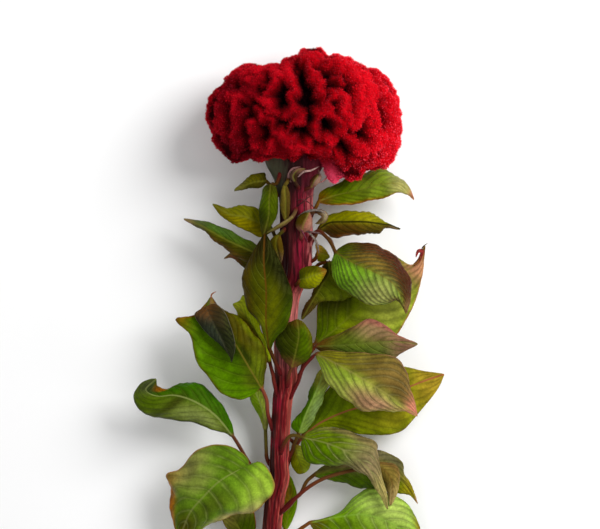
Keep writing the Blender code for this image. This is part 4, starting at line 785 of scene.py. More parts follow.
class Shader:
    """A Principled material and the nodes that colour it."""

    def __init__(self, name, **settings):
        self.material = bpy.data.materials.new(name)
        self.material.use_nodes = True
        self.tree = self.material.node_tree
        self.surface = self.tree.nodes["Principled BSDF"]
        for socket, value in settings.items():
            self.surface.inputs[socket.replace("_", " ")].default_value = value

    def node(self, kind, inputs=(), **settings):
        made = self.tree.nodes.new(kind)
        for key, value in settings.items():
            setattr(made, key, value)
        for key, value in dict(inputs).items():
            if isinstance(value, bpy.types.NodeSocket):
                self.tree.links.new(value, made.inputs[key])
            else:
                made.inputs[key].default_value = value
        return made

    def attribute(self, name, output="Fac"):
        return self.node("ShaderNodeAttribute", attribute_name=name).outputs[output]

    def place(self):
        return self.node("ShaderNodeTexCoord").outputs["Object"]

    def maths(self, operation, *values):
        return self.node("ShaderNodeMath", dict(enumerate(values)), operation=operation).outputs[0]

    def plus(self, one, two):
        return self.maths("ADD", one, two)

    def minus(self, one, two):
        return self.maths("SUBTRACT", one, two)

    def times(self, value, *others):
        for other in others:
            value = self.maths("MULTIPLY", value, other)
        return value

    def size(self, value):
        return self.maths("ABSOLUTE", value)

    def noise(self, scale, detail=2.0, roughness=0.5, vector=None):
        inputs = {"Scale": scale, "Detail": detail, "Roughness": roughness}
        inputs["Vector"] = vector or self.place()
        return self.node("ShaderNodeTexNoise", inputs).outputs["Fac"]

    def span(self, value, low, high, start=0.0, end=1.0):
        """Reads value between low and high as start to end, smoothly."""
        inputs = {"Value": value, "From Min": low, "From Max": high, "To Min": start, "To Max": end}
        return self.node("ShaderNodeMapRange", inputs, interpolation_type="SMOOTHSTEP").outputs[0]

    def mix(self, share, *colours):
        one, two = (c if isinstance(c, bpy.types.NodeSocket) else solid(c) for c in colours)
        return self.node("ShaderNodeMix", {0: share, 6: one, 7: two}, data_type="RGBA").outputs[2]

    def coats(self, colour, *rows):
        """Lays coats over a colour. Each row has the value that a coat follows, where it starts and
        where it is full, its colour and how much of that shows there."""
        for value, low, high, coat, share in rows:
            colour = self.mix(self.span(value, low, high, 0.0, share), colour, coat)
        return colour

    def scaled(self, colour, share):
        inputs = {"Vector": colour, "Scale": share}
        return self.node("ShaderNodeVectorMath", inputs, operation="SCALE").outputs["Vector"]

    def finish(self, colour, height, distance, strength):
        """The material with its colour and with bumps of a height, in metres."""
        inputs = {"Height": height, "Distance": distance, "Strength": strength}
        self.tree.links.new(colour, self.surface.inputs["Base Color"])
        self.tree.links.new(self.node("ShaderNodeBump", inputs).outputs[0], self.surface.inputs["Normal"])
        return self.material


def show(name, data):
    item = bpy.data.objects.new(name, data)
    bpy.context.scene.collection.objects.link(item)
    return item


def new_piece(name, points, faces, finish, slot, values=(), node=None, smooth=True):
    """Adds a piece that rides on the plant. values holds what its material reads at each point."""
    mesh = bpy.data.meshes.new(name)
    mesh.from_pydata(np.asarray(points) * MM, [], faces)
    for key, rows in dict(values).items():
        rows = np.asarray(rows, np.float32)
        kind, entry = ("FLOAT", "value") if rows.ndim == 1 else ("FLOAT_COLOR", "color")
        mesh.attributes.new(key, kind, "POINT").data.foreach_set(entry, rows.ravel())
    mesh.polygons.foreach_set("use_smooth", [smooth] * len(mesh.polygons))
    mesh.materials.append(finish)
    item = show(name, mesh)
    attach(item, "root")
    if node:
        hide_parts(node)
    return item


def loft_faces(rings, count):
    """Faces between rings of equal count, with a flat cap at each end."""
    faces = []
    for i in range(rings - 1):
        for j in range(count):
            k = (j + 1) % count
            faces.append((i * count + j, i * count + k, (i + 1) * count + k, (i + 1) * count + j))
    last = (rings - 1) * count
    for j in range(count // 2 - 1):
        low = count - 1 - j
        faces.append((j, low, low - 1, j + 1))
        faces.append((last + j, last + j + 1, last + low - 1, last + low))
    return faces


def loft(name, rings, *about):
    """A closed piece through rings of points, with its faces turned outward."""
    piece = new_piece(name, rings.reshape(-1, 3), loft_faces(*rings.shape[:2]), *about)
    build = bmesh.new()
    build.from_mesh(piece.data)
    bmesh.ops.recalc_face_normals(build, faces=build.faces)
    build.to_mesh(piece.data)
    build.free()


def stem_section(y):
    """The stem's middle, half width and half depth at y."""
    table = np.array(STEM_SECTIONS)[::-1]
    x, wide, deep = (float(np.interp(y, table[:, 0], table[:, k])) for k in (1, 2, 3))
    share = (NECK_Y - min(y, NECK_Y)) / (NECK_Y - CUT_Y)
    return np.array([x, y, NECK_HEIGHT + (CUT_HEIGHT - NECK_HEIGHT) * share]), wide, deep


def stem_radius(wide, deep, angle):
    """Distance from the stem's middle to its fluted surface, at an angle from +X over +Z."""
    plain = wide * deep / np.hypot(deep * np.cos(angle), wide * np.sin(angle))
    return plain * (1 + FLUTE_DEPTH * np.cos(STEM_FLUTES * (angle + np.pi / 2)))


def stem_surface(y, angle):
    middle, wide, deep = stem_section(y)
    return middle + stem_radius(wide, deep, angle) * np.array([math.cos(angle), 0, math.sin(angle)])


def stalk_start(y, degrees):
    """Where a stalk leaves the stem, and the way out of the stem there."""
    angle = math.radians(degrees)
    turn = SURFACE_STEP / stem_section(y)[1]
    ahead = stem_surface(y + SURFACE_STEP, angle) - stem_surface(y - SURFACE_STEP, angle)
    side = stem_surface(y, angle + turn) - stem_surface(y, angle - turn)
    out = unit(np.cross(ahead, side))
    return stem_surface(y, angle) - out * STALK_SUNK, out


def stem_material():
    shader = Shader("stem_skin", Roughness=0.42, Specular_IOR_Level=0.2, Specular_Tint=solid(STEM_SHINE))
    turn, height, cut, groove, rib = map(shader.attribute, ("turn", "height", "cut", "groove", "rib"))
    stretch = {"Vector": shader.place(), "Scale": STREAK_STRETCH}
    stretched = shader.node("ShaderNodeMapping", stretch).outputs[0]
    streak = shader.noise(STREAK_SCALE, 3.0, 0.6, stretched)
    band = shader.noise(BAND_SCALE)
    side = shader.plus(turn, shader.times(shader.minus(streak, 0.5), STREAK_WANDER))
    slim = shader.size(shader.minus(height, SLIM_MIDDLE))
    # The neck: its own green on the left and red on the right, with painted shade under the crest between
    # them
    neck = shader.mix(shader.span(side, -0.9, -0.3), NECK_GREEN, NECK_SHADE)
    neck = shader.mix(shader.span(side, 0.2, 1.0), neck, NECK_RED)
    # The upper stem: dark maroon, magenta down its middle and a painted pink highlight along its right
    # edge
    upper = shader.coats(
        STEM_DARK,
        (side, -0.4, 0.4, STEM_MAGENTA, 1.0),
        (side, 0.7, 1.1, STEM_PINK, 1.0),
        (streak, 0.56, 0.42, STEM_DARK, 0.8),
    )
    # Painted shade on the stem's left and painted light on its right, over its own red bands and pale and
    # dark streaks; it is pinker round the slim part
    colour = shader.coats(
        STEM_SHADED_LEFT,
        (side, -0.85, -0.1, STEM_MIDDLE, 1.0),
        (side, 0.3, 0.85, STEM_LIT_RIGHT, 1.0),
        (band, 0.5, 0.68, STEM_RED, 0.6),
        (streak, 0.52, 0.72, STEM_STREAK, 0.55),
        (slim, *SLIM_REACH, STEM_PINK, 0.7),
        (streak, 0.5, 0.3, STEM_DARK, 0.7),
        # Painted shade in the furrows between the ribs and in the flutes
        (rib, -0.2, -0.9, STEM_DARK, 0.5),
        (groove, 0.0, 1.0, STEM_DARK, 0.5),
        (height, *UPPER_STEM, upper, 0.85),
        (height, *NECK, neck, 0.95),
    )
    fine = shader.noise(STEM_GRAIN_SCALE, 2.0, 0.6, stretched)
    return shader.finish(shader.mix(cut, colour, PITH), fine, *STEM_BUMP)


def leaf_scars(y, angles):
    """How far the stem swells at y under the foot of each stalk."""
    swell = 0
    for leaf in LEAVES.values():
        at, degrees = leaf["at"]
        apart = (angles - math.radians(degrees) + np.pi) % (2 * np.pi) - np.pi
        swell += SCAR_HEIGHT * np.exp(-(((y - at) / SCAR_LENGTH) ** 2) - (apart / SCAR_WIDTH) ** 2)
    return swell


def make_stem():
    table = spline(np.array(STEM_SECTIONS)[::-1], STEM_RINGS)
    angles = 2 * np.pi * np.arange(STEM_AROUND) / STEM_AROUND
    ways = np.stack([np.cos(angles), 0 * angles, np.sin(angles)], axis=1)
    groove = np.clip(-np.cos(STEM_FLUTES * (angles + np.pi / 2)), 0, 1)
    rings, values = [], {key: [] for key in ("turn", "height", "groove", "rib")}
    for y, x, wide, deep in table:
        middle = stem_section(y)[0]
        middle[0] = x
        wander = np.sin(y / RIB_WANDER_LENGTH + RIB_TWIST * np.cos(angles))
        rib = np.cos(STEM_RIBS * angles + RIB_WANDER * wander)
        reach = stem_radius(wide, deep, angles) + RIB_RELIEF * rib + leaf_scars(y, angles)
        rings.append(middle + reach[:, None] * ways)
        for key, row in zip(values, (np.cos(angles), np.full(STEM_AROUND, y), groove, rib)):
            values[key].append(row)
    points = np.array(rings)
    axis = np.array([stem_section(y)[0] for y in table[:, 0]])[:, None]
    streaks = ripples(points.reshape(-1, 3) * STREAK_STRETCH, *STREAK_WAVES).reshape(points.shape[:2])
    points += units(points - axis) * (STREAK_RELIEF * streaks)[..., None]
    points[..., 2] = np.maximum(points[..., 2], 0)
    core = axis[:1] + (points[:1] - axis[:1]) * CUT_CORE
    points = np.concatenate([core, points])
    values = {key: np.concatenate([rows[0], *rows]) for key, rows in values.items()}
    values["cut"] = np.repeat(np.arange(len(points)) == 0, STEM_AROUND)
    loft("stem_skin", points, stem_material(), "stem_red", values, "stem")


def leaf_edges(leaf, rib, ahead):
    """The blade's two edges, each with its side and bulge, in one order whichever way the leaf
    lies, then the way across its base and whether the order is turned."""
    one, two = leaf["one"], leaf["two"]
    bulges = leaf.get("bulge", PLAIN_BULGE)
    over = np.subtract(two[len(two) // 2], one[len(one) // 2])
    turned = np.cross(over, rib[-1] - rib[0])[2] < 0
    if turned:
        one, two, bulges = two, one, bulges[::-1]
    across = unit(np.subtract(two[0], one[0]))
    across = unit(across - ahead[0] * (across @ ahead[0]))
    ending = unit(np.subtract(two[-1], one[-1]))
    edges = []
    for points, side, bulge in ((one, -1, bulges[0]), (two, 1, bulges[1])):
        start = rib[0] + side * across * STALK_RADIUS * BLADE_BASE_SHARE
        end = rib[-1] + side * ending * TIP_HALF_WIDTH
        edges.append((spline([start, *points, end], len(rib)), side, bulge))
    return edges, across, turned


def leaf_blade(leaf, palette, count, halves):
    """Points over the blade from base to tip and from edge to edge, the way across its base and
    each point's place across it, from -1 at the table's first edge to 1 at its second."""
    rib = spline(leaf["rib"], count)
    ahead = along(rib)
    edges, across, turned = leaf_edges(leaf, rib, ahead)
    height, waves = leaf["wave"]
    veins, slant = palette["veins"]
    t = np.linspace(0, 1, count)[:, None]
    u = np.linspace(0, 1, halves + 1)[None, :]
    swell = np.sin(np.pi * t) ** SWELL_POWER
    beat = np.cos(np.pi * (t - slant * u**VEIN_BEND) * veins)
    quilt = palette["quilt"] * swell * 4 * u * (1 - u) * (2 * np.sqrt(np.abs(beat)) - 1)
    sides = []
    for edge, side, bulge in edges:
        reach = edge - rib
        length = np.linalg.norm(reach, axis=1)[:, None]
        up = side * units(np.cross(reach, ahead))
        wave = height * swell * u * u * np.sin(2 * np.pi * (waves * t + WAVE_SHIFT * side))
        frill = 2 * np.pi * (waves * FRILL_COUNT * t + FRILL_SHIFT * side)
        frill = np.sin(frill + FRILL_WANDER * np.sin(FRILL_TURNS * t))
        lift = bulge * 4 * u * (1 - u) * length * np.sqrt(np.sin(np.pi * t))
        raised = lift + wave + FRILL * swell * u**4 * frill + quilt
        sides.append(rib[:, None] + reach[:, None] * u[..., None] + up[:, None] * raised[..., None])
    grid = np.concatenate([sides[0][:, ::-1], sides[1][:, 1:]], axis=1)
    place = np.linspace(-1, 1, 2 * halves + 1)
    return grid, across, -place if turned else place


def stalk_rings(leaf, joint, across, halves):
    """Rings along the round stalk, from inside the stem to the joint with the blade."""
    start, out = stalk_start(*leaf["at"])
    route = [*leaf.get("stalk", []), joint]
    bend = start + out * (STALK_RISE + STALK_SUNK) + (route[0] - start) * STALK_LEAN
    drop = SMALL_DROP if leaf.get("small") else STALK_DROP
    below = drop if route[0][1] > start[1] else -drop
    foot = stalk_start(start[1] - below, leaf["at"][1])[0]
    stalk = spline([foot, bend, *route], STALK_RINGS + 1)
    angles = np.radians(np.linspace(180 - STALK_SIDE_ANGLE, STALK_SIDE_ANGLE, 2 * halves + 1))[:, None]
    rings = []
    for i, (middle, forward) in enumerate(zip(stalk[:-1], along(stalk))):
        side = unit(across - forward * (across @ forward))
        up = np.cross(side, forward)
        radius = STALK_RADIUS * (1 + STALK_FOOT * math.exp(-i * STALK_FOOT_FALL / STALK_RINGS))
        top = middle + radius * (np.cos(angles) * side + np.sin(angles) * up)
        low = middle + radius * (np.cos(angles) * side - np.sin(angles) * up)
        rings.append(np.concatenate([top, low[::-1]]))
    return rings


def blade_rings(grid, place, halves):
    """Rings round the thin blade, thicker along its midrib, which lies in a channel."""
    ups = units(np.cross(np.gradient(grid, axis=1), np.gradient(grid, axis=0)))
    t = np.linspace(0, 1, len(grid))[:, None]
    reach = np.linalg.norm(grid - grid[:, halves : halves + 1], axis=2)
    rib = RIB_THICKNESS + (TIP_THICKNESS - RIB_THICKNESS) * t - BLADE_THICKNESS
    rib = rib * np.exp(-((reach / RIB_WIDTH) ** 2))
    thick = BLADE_THICKNESS + (MARGIN_THICKNESS - BLADE_THICKNESS) * place**4 + np.maximum(rib, 0)
    channel = RIB_CHANNEL * np.exp(-((reach / RIB_CHANNEL_WIDTH) ** 2)) * between(t, 0, CHANNEL_START)
    top = grid + ups * (thick / 2 - channel)[..., None]
    low = grid - ups * (thick / 2)[..., None]
    return np.concatenate([top, low[:, ::-1]], axis=1)


def leaf_tint(palette, t, u):
    """The blade's colour at t along it and u across it: its own colours with the painted light and shade
    that its look holds.
    """
    one, two = linear(palette["one"]), linear(palette["two"])
    colour = one + (two - one) * between(u, -HALF_BLEND, HALF_BLEND)[:, None]
    for at, across, long, wide, shade, share in palette["spots"]:
        away = ((t - at) / long) ** 2 + ((u - across) / wide) ** 2
        weight = share * np.exp(-(away**SPOT_POWER))[:, None]
        colour = colour + (linear(shade) - colour) * weight
    return np.concatenate([colour * palette["light"], np.ones((len(t), 1))], axis=1)


def leaf_material(name, palette):
    shader = Shader(name, Roughness=0.42, Specular_IOR_Level=0.14, Specular_Tint=solid(LEAF_SHINE))
    across, reach, phase, blade, foot = map(shader.attribute, ("u", "reach", "phase", "blade", "foot"))
    edge = shader.size(across)
    wander = shader.minus(shader.noise(WANDER_SCALE), 0.5)
    phase = shader.plus(phase, shader.times(wander, VEIN_WANDER))
    line = shader.size(shader.minus(shader.maths("FRACT", phase), 0.5))
    broken = shader.span(shader.noise(BREAK_SCALE, 3.0), 0.35, 0.6, 0.3, 1.0)
    vein = shader.times(
        shader.span(line, VEIN_WIDTH, 0.0), shader.span(edge, 1.0, 0.5), broken, palette["vein_share"])
    mottle, speck = shader.noise(MOTTLE_SCALE, 4.0, 0.65), shader.noise(SPECK_SCALE, 3.0, 0.6)
    colour = shader.scaled(shader.attribute("tint", "Color"), shader.span(mottle, 0.3, 0.7, 0.74, 1.26))
    colour = shader.scaled(colour, shader.span(speck, 0.3, 0.7, 0.86, 1.14))
    # Painted shade along the veins, where the blade is furrowed, and a little painted light on the bulges
    # between them
    colour = shader.scaled(colour, shader.span(line, 0.05, 0.42, palette["vein_dark"], 1.1))
    colour = shader.mix(vein, colour, palette["vein"])
    rib = shader.times(shader.span(reach, *RIB_LINE), palette["rib_share"])
    colour = shader.mix(rib, colour, palette["rib"])
    colour = shader.coats(colour, (edge, 0.94, 1.0, palette["edge"], palette["edge_share"]))
    stalk = shader.mix(shader.span(foot, 0.2, 0.9), palette["stalk"], STALK_FOOT_RED)
    net = {"Vector": shader.place(), "Scale": NET_SCALE}
    net = shader.node("ShaderNodeTexVoronoi", net, feature="DISTANCE_TO_EDGE").outputs["Distance"]
    height = shader.plus(shader.span(line, 0.0, 0.12, 0.0, 0.6), shader.span(net, 0.0, 0.25, 0.0, 0.12))
    height = shader.plus(height, shader.times(speck, 0.2))
    return shader.finish(shader.mix(blade, stalk, colour), height, *LEAF_BUMP)


def make_leaf(name, leaf, palette):
    """A leaf with its stalk, or only the blade where it doesn't reach the stem. Its table holds the
    height and count of its edge waves, how far each half bulges, and the points of its stalk, its
    midrib and its two edges."""
    count, halves = (SMALL_RINGS, SMALL_HALVES) if leaf.get("small") else (LEAF_RINGS, LEAF_HALVES)
    grid, across, place = leaf_blade(leaf, palette, count, halves)
    stalk = stalk_rings(leaf, grid[0][halves], across, halves) if "at" in leaf else []
    rings = np.array([*stalk, *blade_rings(grid, place, halves)])
    around = rings.shape[1]
    t = np.repeat(np.concatenate([np.zeros(len(stalk)), np.linspace(0, 1, count)]), around)
    u = np.tile(np.concatenate([place, place[::-1]]), len(rings))
    blade = np.repeat(np.arange(len(rings)) >= len(stalk), around).astype(float)
    if stalk:
        blade *= between(t, 0.0, BLADE_COLOUR_START)
    veins, slant = palette["veins"]
    values = dict(
        u=u, blade=blade, tint=leaf_tint(palette, t, u),
        phase=(t - slant * np.abs(u) ** VEIN_BEND) * veins + VEIN_OFFSET,
        foot=np.repeat(np.concatenate([np.linspace(1, 0, len(stalk)), np.zeros(count)]), around),
        reach=np.linalg.norm(rings - rings[:, halves : halves + 1], axis=2).ravel(),
    )
    slot = "bract_brown" if name.startswith("bract") else "leaf_green"
    finish = leaf_material(name + "_skin", palette)
    loft(name + "_blade", rings, finish, slot, values, name if stalk else None)


def wisp_material(name, shade):
    shader = Shader(name, Roughness=0.6, Specular_IOR_Level=0.15)
    streak = shader.noise(WISP_SCALE, 3.0, 0.6)
    colour = shader.scaled(linear(shade), shader.span(streak, 0.3, 0.7, 0.45, 1.4))
    return shader.finish(colour, streak, *WISP_BUMP)


def make_wisp(name, points, wide, shade):
    """A thin dry strip that tapers to a point and is cupped along its length."""
    middle = spline(points, WISP_RINGS)
    ahead = along(middle)
    side = units(np.cross(ahead, WISP_UP))
    up = np.cross(side, ahead)
    share = WISP_START + (1 - WISP_START) * np.linspace(0, 1, WISP_RINGS)
    width = wide * np.maximum(np.sin(np.pi * share) ** SWELL_POWER, WISP_POINT)
    angles = 2 * np.pi * np.arange(WISP_SIDES) / WISP_SIDES
    across = width[:, None] * np.cos(angles)
    rise = WISP_THICKNESS * np.sin(angles) - WISP_CUP * across**2 / wide
    rings = middle[:, None] + across[..., None] * side[:, None] + rise[..., None] * up[:, None]
    loft(name, rings, wisp_material(name + "_skin", shade), "bract_brown")


def outline_radius():
    """The crest's reach from its middle for each degree round it, read from its outline."""
    points = np.array(CREST_OUTLINE, float)
    angle = np.unwrap(np.arctan2(points[:, 1], points[:, 0]))
    reach = np.hypot(points[:, 0], points[:, 1])
    angle = np.concatenate([angle - 2 * math.pi, angle, angle + 2 * math.pi])
    return np.interp(np.radians(np.arange(361)), angle, np.tile(reach, 3))


def ridge_distance(points, lines):
    """The distance, seen from above, from each point to the nearest of the lines."""
    best = np.full(len(points), np.inf)
    for line in lines:
        for a, b in zip(line, line[1:]):
            a, b = np.array(a, float), np.array(b, float)
            share = np.clip(((points - a) @ (b - a)) / ((b - a) @ (b - a)), 0, 1)
            best = np.minimum(best, np.linalg.norm(points - a - share[:, None] * (b - a), axis=1))
    return best


def fold_distance(points):
    """The distance to the nearest fold line of a seeded field of waves of one length."""
    draw = random.Random(FOLD_SEED)
    value = np.zeros(len(points))
    slope = np.zeros((len(points), 3))
    for _ in range(FOLD_WAVES):
        way = unit(np.array([draw.gauss(0, 1) for _ in range(3)])) * 2 * math.pi / FOLD_WAVELENGTH
        phase = draw.uniform(0, 2 * math.pi)
        value += np.sin(points @ way + phase)
        slope += np.cos(points @ way + phase)[:, None] * way
    return np.abs(value) / np.maximum(np.linalg.norm(slope, axis=1), FOLD_FLATTEST)


def ribbon(distance):
    """The round back of the ribbon, from 1 on its ridge to 0 beside it."""
    return np.sqrt(np.clip(1 - (distance / RIBBON_HALF_WIDTH) ** 2, 0, 1))


def crest_shell(directions, flat):
    """The crest without its folds, for unit directions from its middle."""
    turn = np.degrees(np.arctan2(directions[:, 1], directions[:, 0])) % 360
    outline = np.interp(turn, np.arange(361), outline_radius())
    angle = np.radians(turn)
    oval = 1 / np.hypot(np.cos(angle) / CREST_HALF_WIDTH, np.sin(angle) / CREST_HALF_LENGTH)
    reach = (oval + (outline - oval) * flat**CREST_EDGE_POWER) * flat**CREST_SQUARENESS
    lift = CREST_HALF_DEPTH * np.sign(directions[:, 2]) * np.abs(directions[:, 2]) ** CREST_SQUARENESS
    return np.stack([reach * np.cos(angle), reach * np.sin(angle), lift], axis=1)


def pit_depth(seen):
    """How deep the drawn pits are at places seen from above, from 0 to 1."""
    hollow = np.zeros(len(seen))
    for x, y, wide, high, deep in CREST_PITS:
        away = np.hypot((seen[:, 0] - x) / wide, (seen[:, 1] - y) / high) / PIT_SPREAD
        hollow = np.maximum(hollow, deep * np.exp(-(away**2)))
    return hollow


def crest_points(directions):
    """The crest's surface for unit directions from its middle, with how deep in the folds each
    point is and how much of it is the small lobe, both from 0 to 1."""
    flat = np.hypot(directions[:, 0], directions[:, 1])
    shell = crest_shell(directions, flat)
    wiggle = [ripples(shell, WIGGLE_LENGTH, WIGGLE_WAVES, seed) for seed in WIGGLE_SEEDS]
    bent = shell + WIGGLE * np.stack(wiggle, axis=1)
    seen = bent[:, :2]
    back = ribbon(fold_distance(bent))
    distance = ridge_distance(seen, CREST_RIDGES)
    front = np.maximum(ribbon(distance), back * ramp(distance, FILL_STARTS, FILL_BLEND))
    facing = ramp(directions[:, 2], FRONT_STARTS, FRONT_BLEND)
    relief = FOLD_RELIEF + (1 - FOLD_RELIEF) * facing
    hollow = pit_depth(seen) * facing
    sink = RIBBON_DEPTH * relief * (1 - facing * front - (1 - facing) * back) + PIT_DEPTH * hollow
    # depth is how deep a point lies in the folds, raised in the drawn pits; the material paints it as
    # shade
    depth = np.maximum(sink / (RIBBON_DEPTH + PIT_DEPTH), PIT_SHADE * hollow)
    sink *= 1 - (1 - RIM_RELIEF) * ramp(flat, RIM_STARTS, 1 - RIM_STARTS)
    for height, length, waves, seed in CREST_BUMPS:
        sink += height * ripples(shell, length, waves, seed)
    rest = ramp(np.hypot(seen[:, 0], seen[:, 1]), REST_SPOT_REACH - REST_SPOT_BLEND, REST_SPOT_BLEND)
    sink = (sink + VELVET_ROOM) * np.where(directions[:, 2] < 0, rest, 1)
    lobe = np.exp(-((np.linalg.norm(shell - LOBE_ROOT, axis=1) / LOBE_RADIUS) ** 4))
    placed = shell - units(shell) * sink[:, None] + lobe[:, None] * LOBE_GROWTH + CREST_MIDDLE
    placed[:, 2] = np.maximum(placed[:, 2], 0)
    return placed, depth, lobe


def crest_material(name, roughness):
    shader = Shader(name, Roughness=roughness, Specular_IOR_Level=0.03, Sheen_Weight=0.03,
                    Sheen_Roughness=0.4, Sheen_Tint=solid(SHEEN))
    place = shader.node("ShaderNodeSeparateXYZ", {"Vector": shader.place()}).outputs
    depth, tip, shade, lobe = map(shader.attribute, ("depth", "tip", "shade", "lobe"))
    patch = shader.noise(PATCH_SCALE, 3.0)
    # lit runs from the crest's shaded left to its lit right, and rises a little with y; the reds laid
    # along it are painted light and shade
    lit = shader.plus(place["X"], shader.times(place["Y"], CREST_TILT))
    lit = shader.plus(lit, shader.times(shader.minus(patch, 0.5), CREST_PATCHES))
    colour = shader.mix(shader.span(lit, *CREST_LEFT_SPAN), CREST_SHADED_LEFT, CREST_MIDDLE_RED)
    colour = shader.mix(shader.span(lit, *CREST_RIGHT_SPAN), colour, CREST_LIT_RIGHT)
    # Painted highlight along the ridge tops, in patches
    ridge_highlight = shader.times(shader.span(depth, 0.12, 0.0), shader.span(patch, 0.35, 0.6), 0.5)
    colour = shader.mix(ridge_highlight, colour, CREST_RIDGE_HIGHLIGHT)
    colour = shader.mix(lobe, colour, LOBE_PINK)
    # Painted highlight on the tips of the brighter hairs, stronger towards the crest's lit right
    tip_highlight = shader.span(lit, *CREST_HIGHLIGHT_SPAN, 0.12, 0.6)
    tip_highlight = shader.times(tip, shader.span(shade, 0.5, 1.0), tip_highlight)
    colour = shader.mix(tip_highlight, colour, CREST_TIP_HIGHLIGHT)
    # Hair feet and the ground between the hairs are painted darker than the tips, as painted shade among
    # the hairs
    colour = shader.scaled(colour, shader.span(tip, 0.0, 0.8, 0.5, 1.0))
    # Painted shade deep in the folds, darkest in the pits; the lobe is kept out of it
    depth = shader.minus(depth, lobe)
    colour = shader.scaled(colour, shader.span(depth, 0.03, 0.4, 1.1, 0.34))
    colour = shader.coats(colour, (depth, 0.28, 0.62, CREST_PIT_SHADE, 0.98))
    return shader.finish(colour, shader.noise(CREST_GRAIN_SCALE, 2.0, 0.7), *CREST_BUMP)


def make_crest():
    build = bmesh.new()
    bmesh.ops.create_icosphere(build, subdivisions=CREST_DETAIL, radius=1)
    directions = np.array([v.co for v in build.verts])
    faces = np.array([[v.index for v in face.verts] for face in build.faces])
    build.free()
    points, depth, lobe = crest_points(directions)
    plain = np.ones(len(points))
    values = dict(depth=depth, lobe=lobe * GROUND_LOBE, tip=plain * GROUND_TIP, shade=plain * GROUND_SHADE)
    ground = crest_material("crest_ground", 0.95)
    new_piece("crest_folds", points, faces.tolist(), ground, "crest_velvet", values, "crest")
    velvet = crest_material("crest_velvet_hair", 0.8)
    for number in range(VELVET_PIECES):
        make_velvet(number, (points, faces, depth, lobe), velvet)
    make_florets((points, faces, depth, lobe), velvet)


def seats(crest, chance, count, spread, draw):
    """Random places on the crest: the face of each, the place itself, a foot sunk under it, and a
    frame that leans a little, as up, side and across."""
    points, faces = crest[:2]
    a, b, c = (points[faces[:, k]] for k in range(3))
    normal = np.cross(b - a, c - a)
    chance = chance * np.linalg.norm(normal, axis=1) * (a[:, 2] > VELVET_CLEAR)
    picked = draw.choice(len(faces), count, p=chance / chance.sum())
    one, two = draw.uniform(size=(2, count, 1))
    over = one + two > 1
    one, two = np.where(over, 1 - one, one), np.where(over, 1 - two, two)
    place = a[picked] + one * (b - a)[picked] + two * (c - a)[picked]
    out = units(normal[picked])
    up = units(out + spread * draw.normal(size=(count, 3)))
    side = units(np.cross(up, draw.normal(size=(count, 3))))
    return picked, place, place - out * HAIR_SUNK, up, side, np.cross(up, side)


def scatter(name, crest, picked, corners, sides, finish, depth_share, tips, shade):
    """One piece of many small bodies of one make, each coloured like the crest under its foot."""
    points, faces, depth, lobe = crest
    bodies = np.stack(corners, axis=1)
    bodies[:, :, 2] = np.maximum(bodies[:, :, 2], 0)
    count, each = bodies.shape[:2]
    first = each * np.arange(count)[:, None]
    every_side = np.concatenate([first + np.array(side) for side in sides])
    under = faces[picked][:, 0]
    values = dict(
        depth=np.repeat(depth[under] * depth_share, each), lobe=np.repeat(lobe[under], each),
        tip=np.tile(tips, count), shade=np.repeat(shade, each),
    )
    points = bodies.reshape(-1, 3)
    new_piece(name, points, every_side.tolist(), finish, "crest_velvet", values, smooth=False)


def make_velvet(number, crest, finish):
    """Short three-sided hairs that stand on the crest, each with its foot sunk in."""
    draw = np.random.default_rng(number)
    picked, place, foot, up, side, across = seats(crest, 1, HAIRS_A_PIECE, HAIR_SPREAD, draw)
    length = draw.uniform(*HAIR_LENGTH, size=(HAIRS_A_PIECE, 1))
    corners = []
    for turn in (0, 2 * math.pi / 3, 4 * math.pi / 3):
        corners.append(foot + HAIR_RADIUS * (math.cos(turn) * side + math.sin(turn) * across))
    corners.append(place + up * length)
    sides = [(0, 1, 3), (1, 2, 3), (2, 0, 3)]
    # How strong each hair's painted tip highlight is, at random
    shade = draw.uniform(0.0, 1.0, HAIRS_A_PIECE)
    name = f"crest_velvet_{number + 1}"
    scatter(name, crest, picked, corners, sides, finish, 1.0, HAIR_TIPS, shade)


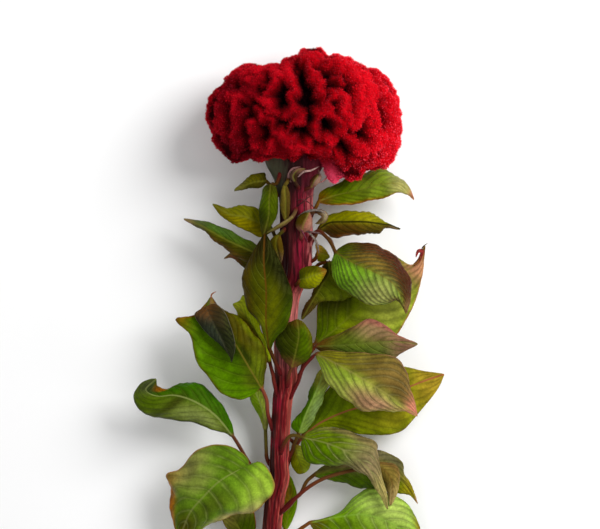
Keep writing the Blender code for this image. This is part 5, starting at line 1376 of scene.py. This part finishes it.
def make_florets(crest, finish):
    """Small pointed beads, the tips of the florets, thickest round the crest's outline."""
    points, faces, depth, _ = crest
    draw = np.random.default_rng(FLORET_SEED)
    own = faces[:, 0]
    away = units(points[own] - CREST_MIDDLE)
    outer = between(1 - np.abs(away[:, 2]), *FLORET_RIM)
    chance = FLORET_EVEN + outer + FLORET_RIGHT * np.clip(away[:, 0], 0, 1)
    chance = chance * (depth[own] < FLORET_DEEPEST)
    picked, place, foot, up, side, across = seats(crest, chance, FLORETS, FLORET_SPREAD, draw)
    size = draw.uniform(*FLORET_SIZES, size=(FLORETS, 1))
    height, wide = size * FLORET_HEIGHT, size * FLORET_WIDTH
    waist = place + up * height * FLORET_WAIST
    ring = [waist + wide * side, waist + wide * across, waist - wide * side, waist - wide * across]
    corners = [foot, *ring, waist + up * height * FLORET_POINT]
    sides = [(0, 2, 1), (0, 3, 2), (0, 4, 3), (0, 1, 4), (5, 1, 2), (5, 2, 3), (5, 3, 4), (5, 4, 1)]
    # How strong each floret's painted tip highlight is, at random and strongest round the outline
    shade = draw.uniform(*FLORET_HIGHLIGHT_RANGE, FLORETS) * (FLORET_INNER_HIGHLIGHT + (1 - FLORET_INNER_HIGHLIGHT) * outer[picked])
    name, share = "crest_florets", FLORET_DEPTH_SHARE
    scatter(name, crest, picked, corners, sides, finish, share, FLORET_TIPS, shade)


def make_floor():
    mesh = bpy.data.meshes.new("floor")
    corners = [(-1, -1), (1, -1), (1, 1), (-1, 1)]
    mesh.from_pydata([(FLOOR_REACH * x, FLOOR_REACH * y, 0) for x, y in corners], [], [(0, 1, 2, 3)])
    shader = Shader("floor_paper", Roughness=0.9, Specular_IOR_Level=0.1)
    colour = shader.mix(shader.noise(FLOOR_SCALE), FLOOR_LIGHT, FLOOR_DARK)
    shader.tree.links.new(colour, shader.surface.inputs["Base Color"])
    mesh.materials.append(shader.material)
    floor = show("floor", mesh)
    floor.location.z = -FLOOR_DROP


def make_light(name, place, size, power):
    light = bpy.data.lights.new(name, "AREA")
    light.shape = "DISK"
    light.size = size
    light.energy = power
    item = show(name, light)
    item.location = place
    item.rotation_euler = (Vector(AIM) - Vector(place)).to_track_quat("-Z", "Y").to_euler()


def make_sky():
    world = bpy.data.worlds.new("studio")
    world.use_nodes = True
    sky = world.node_tree.nodes["Background"].inputs
    sky["Color"].default_value = (1, 1, 1, 1)
    sky["Strength"].default_value = SKY
    bpy.context.scene.world = world
    bpy.context.scene.view_settings.view_transform = "Standard"


def make_camera():
    lens = bpy.data.cameras.new("camera")
    lens.sensor_width = SENSOR
    lens.lens = SENSOR * CAMERA_DISTANCE / VIEW_WIDTH
    camera = show("camera", lens)
    camera.location = (*CAMERA_OVER, VIEW_PLANE + CAMERA_DISTANCE)
    bpy.context.scene.camera = camera


make_floor()
for lamp in LIGHTS:
    make_light(*lamp)
make_sky()
make_camera()
make_stem()
make_crest()
for leaf_name, shape in LEAVES.items():
    make_leaf(leaf_name, shape, LOOKS[leaf_name])
make_leaf("leaf_left_08_flap", FLAP, FLAP_LOOK)
for number, wisp in enumerate(WISPS):
    make_wisp(f"wisp_{number + 1:02d}", *wisp)
